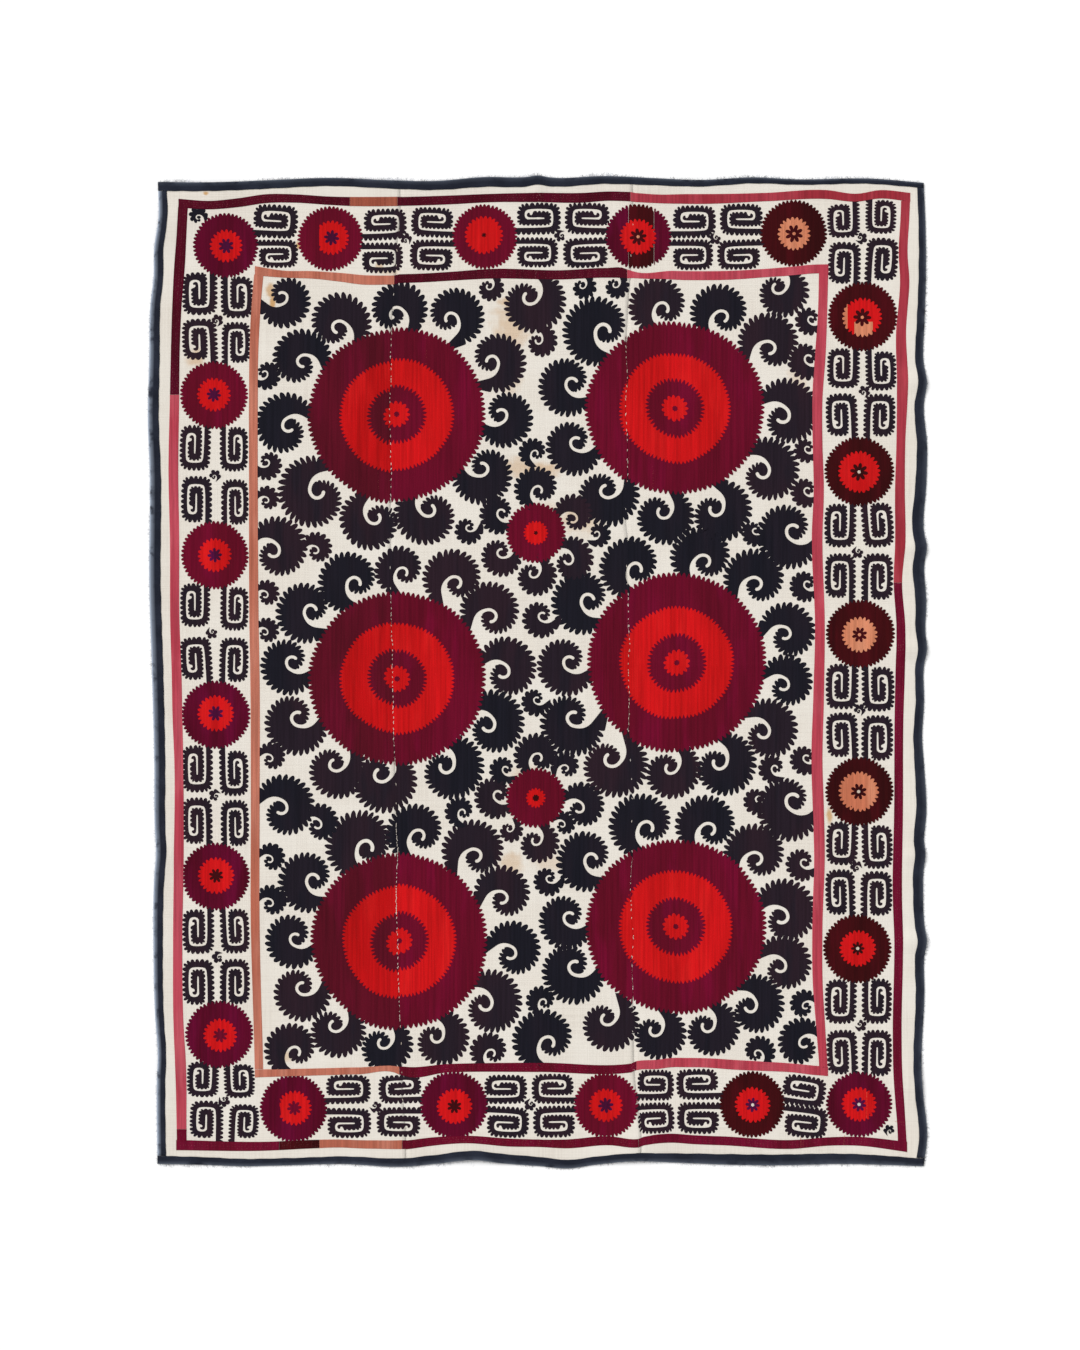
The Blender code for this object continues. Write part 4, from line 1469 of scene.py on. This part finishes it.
# Columns: along, across. The outer side of the first turn, from the stem's end round to where the second
# turn starts.
COMB_OUTER = [
    (-60, 34), (28, 34), (41, 30), (48, 18), (48, -18), (41, -30), (28, -34), (-28, -34), (-41, -30),
    (-48, -18), (-48, 2),
]
COMB_ISLAND = [
    (-48, 2), (-46, 11), (-38, 15), (17, 15.2), (26, 12), (27.3, 4), (27.3, -8), (24, -15), (15, -16.8),
    (-13, -16.8),
]
# The end of the second turn, which curls over towards the outside with a small eye, and the slot beside it.
COMB_HOOK = [
    (-14.2, -10.4), (-15.2, -8.6), (-17.4, -8.0), (-19.6, -9.2), (-19.2, -11.4), (-21, -13.2), (-24, -12.8),
    (-26.6, -9),
    (-26, -5), (-22, -2.6), (-12, -2.2), (10, -2.2), (12, -0.9), (10, 0.5), (-12, 0.6),
]
COMB_INNER = [
    (-25, 0.9), (-30.5, -3), (-30.5, -14), (-25, -20), (23, -20), (30.5, -15), (30.5, 12), (24, 18.2),
    (-60, 18.6),
]
MIRROR = np.array([1, -1])


def rounded(path, times=3):
    """A path with its corners cut again and again, which rounds them."""
    path = np.array(path, float)
    for _ in range(times):
        first, last = path[:1], path[-1:]
        before, after = path[:-1], path[1:]
        cut = np.stack([0.75 * before + 0.25 * after, 0.25 * before + 0.75 * after], axis=1).reshape(-1, 2)
        path = np.concatenate([first, cut, last])
    return path


def comb(middle, length, width, stem, side, tilt, dice):
    """The outline of one comb, from its half sizes, the way its stem runs and the side the stem is on."""
    outer = evenly(rounded(COMB_OUTER) * MIRROR * MM, 1.5 * MM)
    outer = toothed(outer, 10.6 * MM, 6.4 * MM, steps=6, dice=dice)
    island = evenly(rounded(COMB_ISLAND) * MIRROR * MM, 1.2 * MM)
    island = toothed(island, 9.0 * MM, 3.8 * MM, steps=6, dice=dice)
    hook = rounded(COMB_HOOK, 1) * MM
    inner = evenly(rounded(COMB_INNER, 2) * MM, 5 * MM)
    outline = np.concatenate([outer * MIRROR, island[1:] * MIRROR, hook, inner])
    outline *= np.array([length / COMB_LENGTH, width / COMB_WIDTH])
    along = {"left": (1, 0), "right": (-1, 0), "up": (0, -1), "down": (0, 1)}[stem]
    across = {"above": (0, 1), "below": (0, -1), "right": (1, 0), "left": (-1, 0)}[side]
    turned = outline[:, :1] * np.array(along) + outline[:, 1:] * np.array(across)
    turn = math.radians(tilt + dice.normal(0, 1.2))
    spin = np.array([[math.cos(turn), math.sin(turn)], [-math.sin(turn), math.cos(turn)]])
    return turned @ spin + np.array(middle)


trial_comb = comb((0, 0), 48, 34, "left", "above", 0, np.random.default_rng(3))
print("a comb has", len(trial_comb), "points")

# %% The combs, side by side
# Columns: across, up, half length, half width, way the stem runs, side it is on, tilt.
COMBS = {
    "top": [
        (-578, 991, 50, 38, "left", "below", 0), (-572, 920, 44, 32, "left", "above", 0),
        (-337, 985, 48, 35, "left", "below", 0), (-343, 913, 46, 34, "left", "above", 0),
        (-234, 989, 47, 34, "right", "below", 0), (-236, 917, 48, 35, "right", "above", 0),
        (1, 997, 49, 36, "left", "below", 0), (-2, 923, 46, 34, "left", "above", 0),
        (107, 997, 50, 36, "right", "below", 0), (103, 922, 50, 34, "right", "above", 0),
        (343, 990, 48, 37, "left", "below", 0), (340, 918, 45, 35, "left", "above", 0),
        (446, 995, 48, 36, "right", "below", 0), (440, 918, 48, 34, "right", "above", 0),
        (671, 992, 38, 37, "up", "right", 0), (753, 1001, 38, 35, "up", "left", 0),
        (673, 900, 47, 37, "down", "right", 0), (755, 908, 48, 37, "down", "left", 0),
    ],
    "left": [
        (-745, 832, 48, 40, "up", "right", 0), (-663, 824, 47, 37, "up", "left", 0),
        (-745, 732, 46, 40, "down", "right", 0), (-665, 725, 46, 33, "down", "left", 0),
        (-755, 493, 51, 35, "up", "right", 0), (-670, 490, 50, 32, "up", "left", 0),
        (-752, 380, 52, 35, "down", "right", 0), (-668, 374, 51, 31, "down", "left", 0),
        (-755, 147, 49, 34, "up", "right", 0), (-669, 139, 49, 32, "up", "left", 0),
        (-753, 30, 48, 36, "down", "right", 0), (-670, 27, 50, 33, "down", "left", 0),
        (-750, -213, 53, 35, "up", "right", 0), (-670, -223, 51, 33, "up", "left", 0),
        (-750, -327, 52, 34, "down", "right", 0), (-668, -332, 52, 32, "down", "left", 0),
        (-748, -571, 50, 36, "up", "right", 0), (-668, -570, 50, 33, "up", "left", 0),
        (-748, -682, 51, 36, "down", "right", 0), (-668, -681, 51, 34, "down", "left", 0),
        (-738, -896, 40, 36, "up", "right", 0), (-658, -900, 38, 35, "up", "left", 0),
        (-730, -984, 42, 38, "down", "right", 0), (-648, -988, 38, 34, "down", "left", 0),
    ],
    "right": [
        (671, 668, 45, 37, "up", "right", 0), (753, 662, 44, 35, "up", "left", 0),
        (667, 566, 48, 36, "down", "right", 0), (750, 565, 48, 36, "down", "left", 0),
        (664, 322, 49, 36, "up", "right", 0), (746, 323, 50, 36, "up", "left", 0),
        (664, 212, 50, 35, "down", "right", 0), (745, 210, 52, 36, "down", "left", 0),
        (668, -32, 51, 37, "up", "right", 0), (747, -38, 50, 37, "up", "left", 0),
        (668, -138, 50, 36, "down", "right", 0), (745, -145, 51, 36, "down", "left", 0),
        (668, -377, 49, 36, "up", "right", 0), (745, -385, 49, 35, "up", "left", 0),
        (664, -484, 51, 34, "down", "right", 0), (743, -487, 50, 36, "down", "left", 0),
        (665, -725, 50, 36, "up", "right", 0), (744, -724, 51, 34, "up", "left", 0),
        (668, -836, 50, 35, "down", "right", 0), (744, -838, 52, 34, "down", "left", 0),
    ],
    "bottom": [
        (-418, -918, 50, 33, "left", "below", 0), (-416, -992, 49, 34, "left", "above", 0),
        (-305, -917, 48, 33, "right", "below", 0), (-308, -990, 49, 34, "right", "above", 0),
        (-72, -918, 48, 33, "left", "below", 0), (-67, -990, 47, 35, "left", "above", 0),
        (31, -917, 47, 34, "right", "below", 0), (34, -989, 47, 36, "right", "above", 0),
        (258, -912, 41, 35, "left", "below", 0), (259, -984, 41, 35, "left", "above", 0),
        (349, -907, 47, 35, "right", "below", 0), (351, -981, 47, 36, "right", "above", 0),
        (584, -922, 49, 35, "left", "below", -10), (589, -990, 48, 36, "left", "above", -8),
    ],
}
# Columns: across, up. Little hooks in the gaps between two pairs of combs.
HOOKS = [
    (-292, 950), (50, 960), (390, 955), (708, 955), (-708, 772), (-713, 430), (-718, 88), (-710, -272),
    (-703, -627),
    (-692, -941), (715, 615), (703, 265), (705, -85), (700, -430), (707, -776), (-360, -955), (-17, -950),
]
dice = np.random.default_rng(43)
comb_pieces = []
for name, sides in (("stitched_combs_ends", ("top", "bottom")), ("stitched_combs_sides", ("left", "right"))):
    combs = Embroidery(name)
    for side_name in sides:
        for x, y, length, width, stem, side, tilt in COMBS[side_name]:
            combs.patch(comb(at(x, y), length, width, stem, side, tilt, dice), THREADS["black"], 0)
    if name == "stitched_combs_sides":
        for x, y in HOOKS:
            base = dice.uniform(0, 360)
            combs.patch(leaf(at(x, y), 16 * MM, base, 1, "", dice), THREADS["black"], 0.5)
    comb_pieces.append(combs.finish_piece())

# %% [markdown]
# ## Stitched bands
# Two narrow bands frame the field and the border. Each is four close rows of stitching with a groove
# between one row and the next, and specks of paler thread show along the grooves. The colour changes
# where one breadth ends and the next begins, or where the thread ran out. A band is a ribbon between two
# measured lines, so its table has three columns: place, outer line, inner line.

# %% The bands and where their colours change
# Columns: place along, outer line, inner line.
OUTER_BAND = {
    "left": [
        (-1052, -795, -774), (-1000, -796, -774), (-840, -800, -776), (-800, -802, -779), (-600, -804, -783),
        (-400, -802, -780), (-200, -801, -781), (-100, -805, -783), (0, -807, -785), (100, -810, -789),
        (300, -811, -790), (440, -814, -792), (600, -811, -790), (700, -809, -789), (800, -806, -785),
        (900, -801, -777), (960, -796, -774), (1041, -792, -770),
    ],
    "right": [
        (-1055, 811, 791), (-1000, 808, 789), (-940, 804, 784), (-900, 801, 781), (-800, 799, 779),
        (-580, 802, 782),
        (-500, 800, 779), (-300, 802, 782), (-100, 803, 783), (0, 806, 785), (100, 807, 787), (200, 800, 781),
        (280, 807, 784), (400, 806, 784), (500, 807, 787), (640, 813, 788), (760, 809, 787), (800, 812, 791),
        (860, 816, 795), (920, 812, 792), (1000, 816, 796), (1055, 818, 798),
    ],
    "top": [
        (-792, 1041, 1021), (-720, 1036, 1017), (-660, 1042, 1022), (-600, 1051, 1031), (-540, 1051, 1032),
        (-460, 1046, 1027), (-420, 1045, 1025), (-300, 1045, 1025), (-200, 1048, 1028), (-100, 1052, 1033),
        (0, 1054, 1033), (100, 1054, 1032), (150, 1057, 1036), (200, 1056, 1035), (260, 1052, 1032),
        (340, 1051, 1029), (500, 1054, 1035), (635, 1060, 1040), (700, 1052, 1034), (750, 1060, 1041),
        (818, 1054, 1034),
    ],
    "bottom": [
        (-797, -1052, -1029), (-600, -1053, -1033), (-500, -1048, -1029), (-440, -1046, -1028),
        (-360, -1050, -1031),
        (-290, -1050, -1030), (-240, -1043, -1024), (-160, -1036, -1019), (-60, -1044, -1026),
        (0, -1045, -1028),
        (60, -1048, -1028), (160, -1041, -1021), (210, -1046, -1027), (260, -1040, -1020),
        (400, -1041, -1021),
        (560, -1049, -1029), (640, -1042, -1023), (700, -1042, -1022), (811, -1056, -1033),
    ],
}
# Columns: where the colour starts, thread. Each colour runs to the next row.
FIELD_COLOURS = {
    "left": [(-900, "coral")],
    "right": [(-900, "rose")],
    "top": [(-700, "coral"), (-317, "wine"), (195, "rose")],
    "bottom": [(-700, "coral"), (-306, "maroon"), (215, "rose")],
}
OUTER_COLOURS = {
    "left": [(-1100, "maroon"), (-1006, "rose"), (610, "wine")],
    "right": [(-1100, "raspberry"), (196, "deep_rose")],
    "top": [(-900, "wine"), (-415, "rust"), (-310, "wine"), (202, "deep_rose")],
    "bottom": [(-900, "raspberry"), (-570, "brown"), (-482, "coral"), (-300, "maroon"), (220, "raspberry")],
}
BAND_ROWS = 4
ROW_SPLIT = -1.6 * MM
# For each thread that shows specks: the distance between them, and the thread they are in.
SPECKLED = {
    "wine": (4.2, "speck"), "maroon": (4.2, "speck"), "brown": (4.2, "speck"), "raspberry": (6.0, "speck"),
    "coral": (3.4, "salmon"), "rust": (3.2, "salmon"),
}
BAND_LAYER = 1.6
SPECK_LENGTH = 1.1 * MM
SPECK_WIDTH = 0.7 * MM
SPECK_HEIGHT = STITCH_HEIGHT + BAND_LAYER * LAYER + 0.05 * MM
BAND_STEP = 11 * MM
CORNER_WIDTH = 18.5


def add_specks(piece, x, y, upright, rise=SPECK_HEIGHT, thread="speck"):
    """Small low lozenges of pale ground thread, lying along the band."""
    long_way, short_way = (SPECK_WIDTH, SPECK_LENGTH) if upright else (SPECK_LENGTH, SPECK_WIDTH)
    height = top_of_cloth(x, y) + rise
    corners = [(1, 0, -0.3), (0, 1, -0.3), (-1, 0, -0.3), (0, -1, -0.3), (0, 0, 0.12)]
    points = np.stack(
        [np.column_stack([x + a * long_way, y + b * short_way, height + c * MM]) for a, b, c in corners],
        axis=1,
    ).reshape(-1, 3)
    one = [(0, 1, 4), (1, 2, 4), (2, 3, 4), (3, 0, 4), (3, 2, 1, 0)]
    faces = [tuple(5 * k + corner for corner in face) for k in range(len(x)) for face in one]
    piece.add(points, faces, THREADS[thread])


def band(piece, table, colours, upright, start, stop):
    """Rows of stitching between two lines, with a shallow groove between one row and the next."""
    rows = np.array(table, float)
    places = [start] + [p for p, _ in colours if start < p < stop] + [stop]
    for low, high in zip(places[:-1], places[1:]):
        thread = [t for p, t in colours if p <= low + 1e-6][-1]
        along = np.linspace(low, high, max(2, round((high - low) * MM / BAND_STEP)) + 1)
        outer = read_curve(rows[:, :2], along)
        inner = read_curve(rows[:, [0, 2]], along)
        for row in range(BAND_ROWS):
            first = outer + (inner - outer) * row / BAND_ROWS
            last = outer + (inner - outer) * (row + 1) / BAND_ROWS
            slit = np.sign(inner - outer) * ROW_SPLIT / MM / 2
            first = first + slit * (row > 0)
            last = last - slit * (row < BAND_ROWS - 1)
            one = np.column_stack([along, first])
            two = np.column_stack([along, last])[::-1]
            loop = np.concatenate([one, two])
            if upright:
                loop = loop[:, ::-1]
            loop = (loop + np.array([SHIFT_X, SHIFT_Y])) * MM
            piece.patch(loop, THREADS[thread], BAND_LAYER)
        for row in range(1, BAND_ROWS):
            if thread in SPECKLED:
                apart, speck = SPECKLED[thread]
                line = np.arange(low + 4, high - 4, apart)
                line = line[dice.random(len(line)) < 0.8]
                line = line + dice.normal(0, 1.2, len(line))
                groove = np.interp(line, along, outer + (inner - outer) * row / BAND_ROWS)
                groove = groove + dice.normal(0, 0.5, len(line))
                x, y = (groove, line) if upright else (line, groove)
                add_specks(piece, (x + SHIFT_X) * MM, (y + SHIFT_Y) * MM, upright, thread=speck)


bands = Embroidery("stitched_bands")
dice = np.random.default_rng(45)
for tables, colours in ((FIELD_BAND, FIELD_COLOURS), (OUTER_BAND, OUTER_COLOURS)):
    for side in ("left", "right"):
        low, high = tables[side][0][0], tables[side][-1][0]
        band(bands, tables[side], colours[side], True, low + CORNER_WIDTH, high - CORNER_WIDTH)
    for side in ("top", "bottom"):
        band(bands, tables[side], colours[side], False, tables[side][0][0], tables[side][-1][0])


# Columns: from across, from up, to across, to up, distance between specks, height over the cloth in mm.
WORN_LINES = [
    (722, -980, 722, -924, 2.6, 1.2), (577, -1046, 577, -1024, 1.4, 1.05),
    (671, -1040, 673, -1020, 1.4, 1.05),
    (581, -1044, 582, -1028, 1.8, 1.05), (786, -989, 806, -990, 1.4, 1.05), (-365, 545, -366, 590, 3.5, 1.3),
    (-352, 395, -353, 450, 6.0, 1.1), (-247, 640, -247, 740, 9.0, 1.1), (252, 400, 252, 450, 6.0, 1.1),
]
for from_x, from_y, to_x, to_y, apart, rise in WORN_LINES:
    count = max(2, round(math.hypot(to_x - from_x, to_y - from_y) / apart))
    share = np.linspace(0, 1, count) + dice.normal(0, 0.25 / count, count)
    line_x = (from_x + (to_x - from_x) * share + dice.normal(0, 0.4, count) + SHIFT_X) * MM
    line_y = (from_y + (to_y - from_y) * share + SHIFT_Y) * MM
    add_specks(bands, line_x, line_y, abs(to_y - from_y) > abs(to_x - from_x), rise * MM, "salmon")
bands.finish_piece()

# %% [markdown]
# ## Seams
# The breadths are joined by hand with a thick white cotton thread, and it shows as short dashes wherever
# the seam crosses dark stitching. Each dash is a small raised bead that lies along the seam on top of
# what is there.

# %% White stitches along the seams
# Columns: seam, from, to, distance between stitches.
SEAM_RUNS = [
    ("left", 385, 755, 13), ("left", -200, 172, 11), ("left", -776, -404, 10),
    ("left", -400, -328, 5), ("left", -526, -473, 5), ("right", 430, 740, 16), ("right", -120, 170, 13),
    ("right", -700, -420, 22), ("left", -1000, 1000, 46),
    ("right", -1000, 1000, 52),
]
DASH_HALF_LENGTH = 2.6 * MM
DASH_HALF_WIDTH = 0.75 * MM
DASH_HEIGHT = 0.5 * MM


def top_layer(x, y):
    """The layer of the topmost disc at a place, or that of the leaves away from the medallions."""
    for across, up, radius_x, _, red, inner, heart in MEDALLIONS:
        away = math.hypot(x - across, y - up)
        discs = ((heart, HEART_LAYER), (inner, INNER_LAYER), (red, RED_LAYER), (radius_x, RING_LAYER))
        for radius, layer in discs:
            if away < radius + 4:
                return layer
    return LEAF_LAYER


def seam_dash(x, y, layer, dice):
    """A bead of thread along the seam: an eight-sided ring low down, and a ridge of two points."""
    turn = np.linspace(0, 2 * math.pi, 8, endpoint=False)
    length = DASH_HALF_LENGTH * dice.uniform(0.6, 1.3)
    slant = dice.normal(0, 0.15)
    ring_x = x + DASH_HALF_WIDTH * np.cos(turn) + slant * length * np.sin(turn)
    ring_y = y + length * np.sin(turn)
    rise = STITCH_HEIGHT + layer * LAYER - 0.1 * MM
    ring = np.column_stack([ring_x, ring_y, top_of_cloth(ring_x, ring_y) + rise])
    ridge_x = np.array([x + slant * 0.5 * length, x - slant * 0.5 * length])
    ridge_y = np.array([y + 0.5 * length, y - 0.5 * length])
    ridge = np.column_stack([ridge_x, ridge_y, top_of_cloth(ridge_x, ridge_y) + rise + DASH_HEIGHT])
    faces = [
        (0, 1, 8), (1, 2, 8), (2, 3, 8), (3, 4, 8), (4, 9, 8), (4, 5, 9), (5, 6, 9), (6, 7, 9), (7, 0, 9),
        (0, 8, 9),
    ]
    faces.append((7, 6, 5, 4, 3, 2, 1, 0))
    return np.concatenate([ring, ridge]), faces


stitches = Embroidery("seam_stitches")
dice = np.random.default_rng(47)
seams = {"left": LEFT_SEAM, "right": RIGHT_SEAM}
for side, low, high, apart in SEAM_RUNS:
    place = low
    while place < high:
        seam_y = (place + SHIFT_Y) * MM
        real_x, real_y = laid(smooth_between(seams[side], np.array(seam_y)), np.array(seam_y))
        layer = top_layer(float(real_x) / MM, place)
        points, faces = seam_dash(float(real_x) + dice.normal(0, 0.6 * MM), float(real_y), layer, dice)
        stitches.add(points, faces, THREADS["white"])
        place += apart * dice.uniform(0.7, 1.4)
stitches.finish_piece()

# %% [markdown]
# ## The sheets of cloth
# There are seven sheets of cloth, three breadths and four strips of edging, and each builder above printed the
# size it was cut to. The breadths lie on the floor and on the edging's lower layer; the edging is folded round
# them, so its cut width is its whole girth.

print("sheets of cloth: 7")
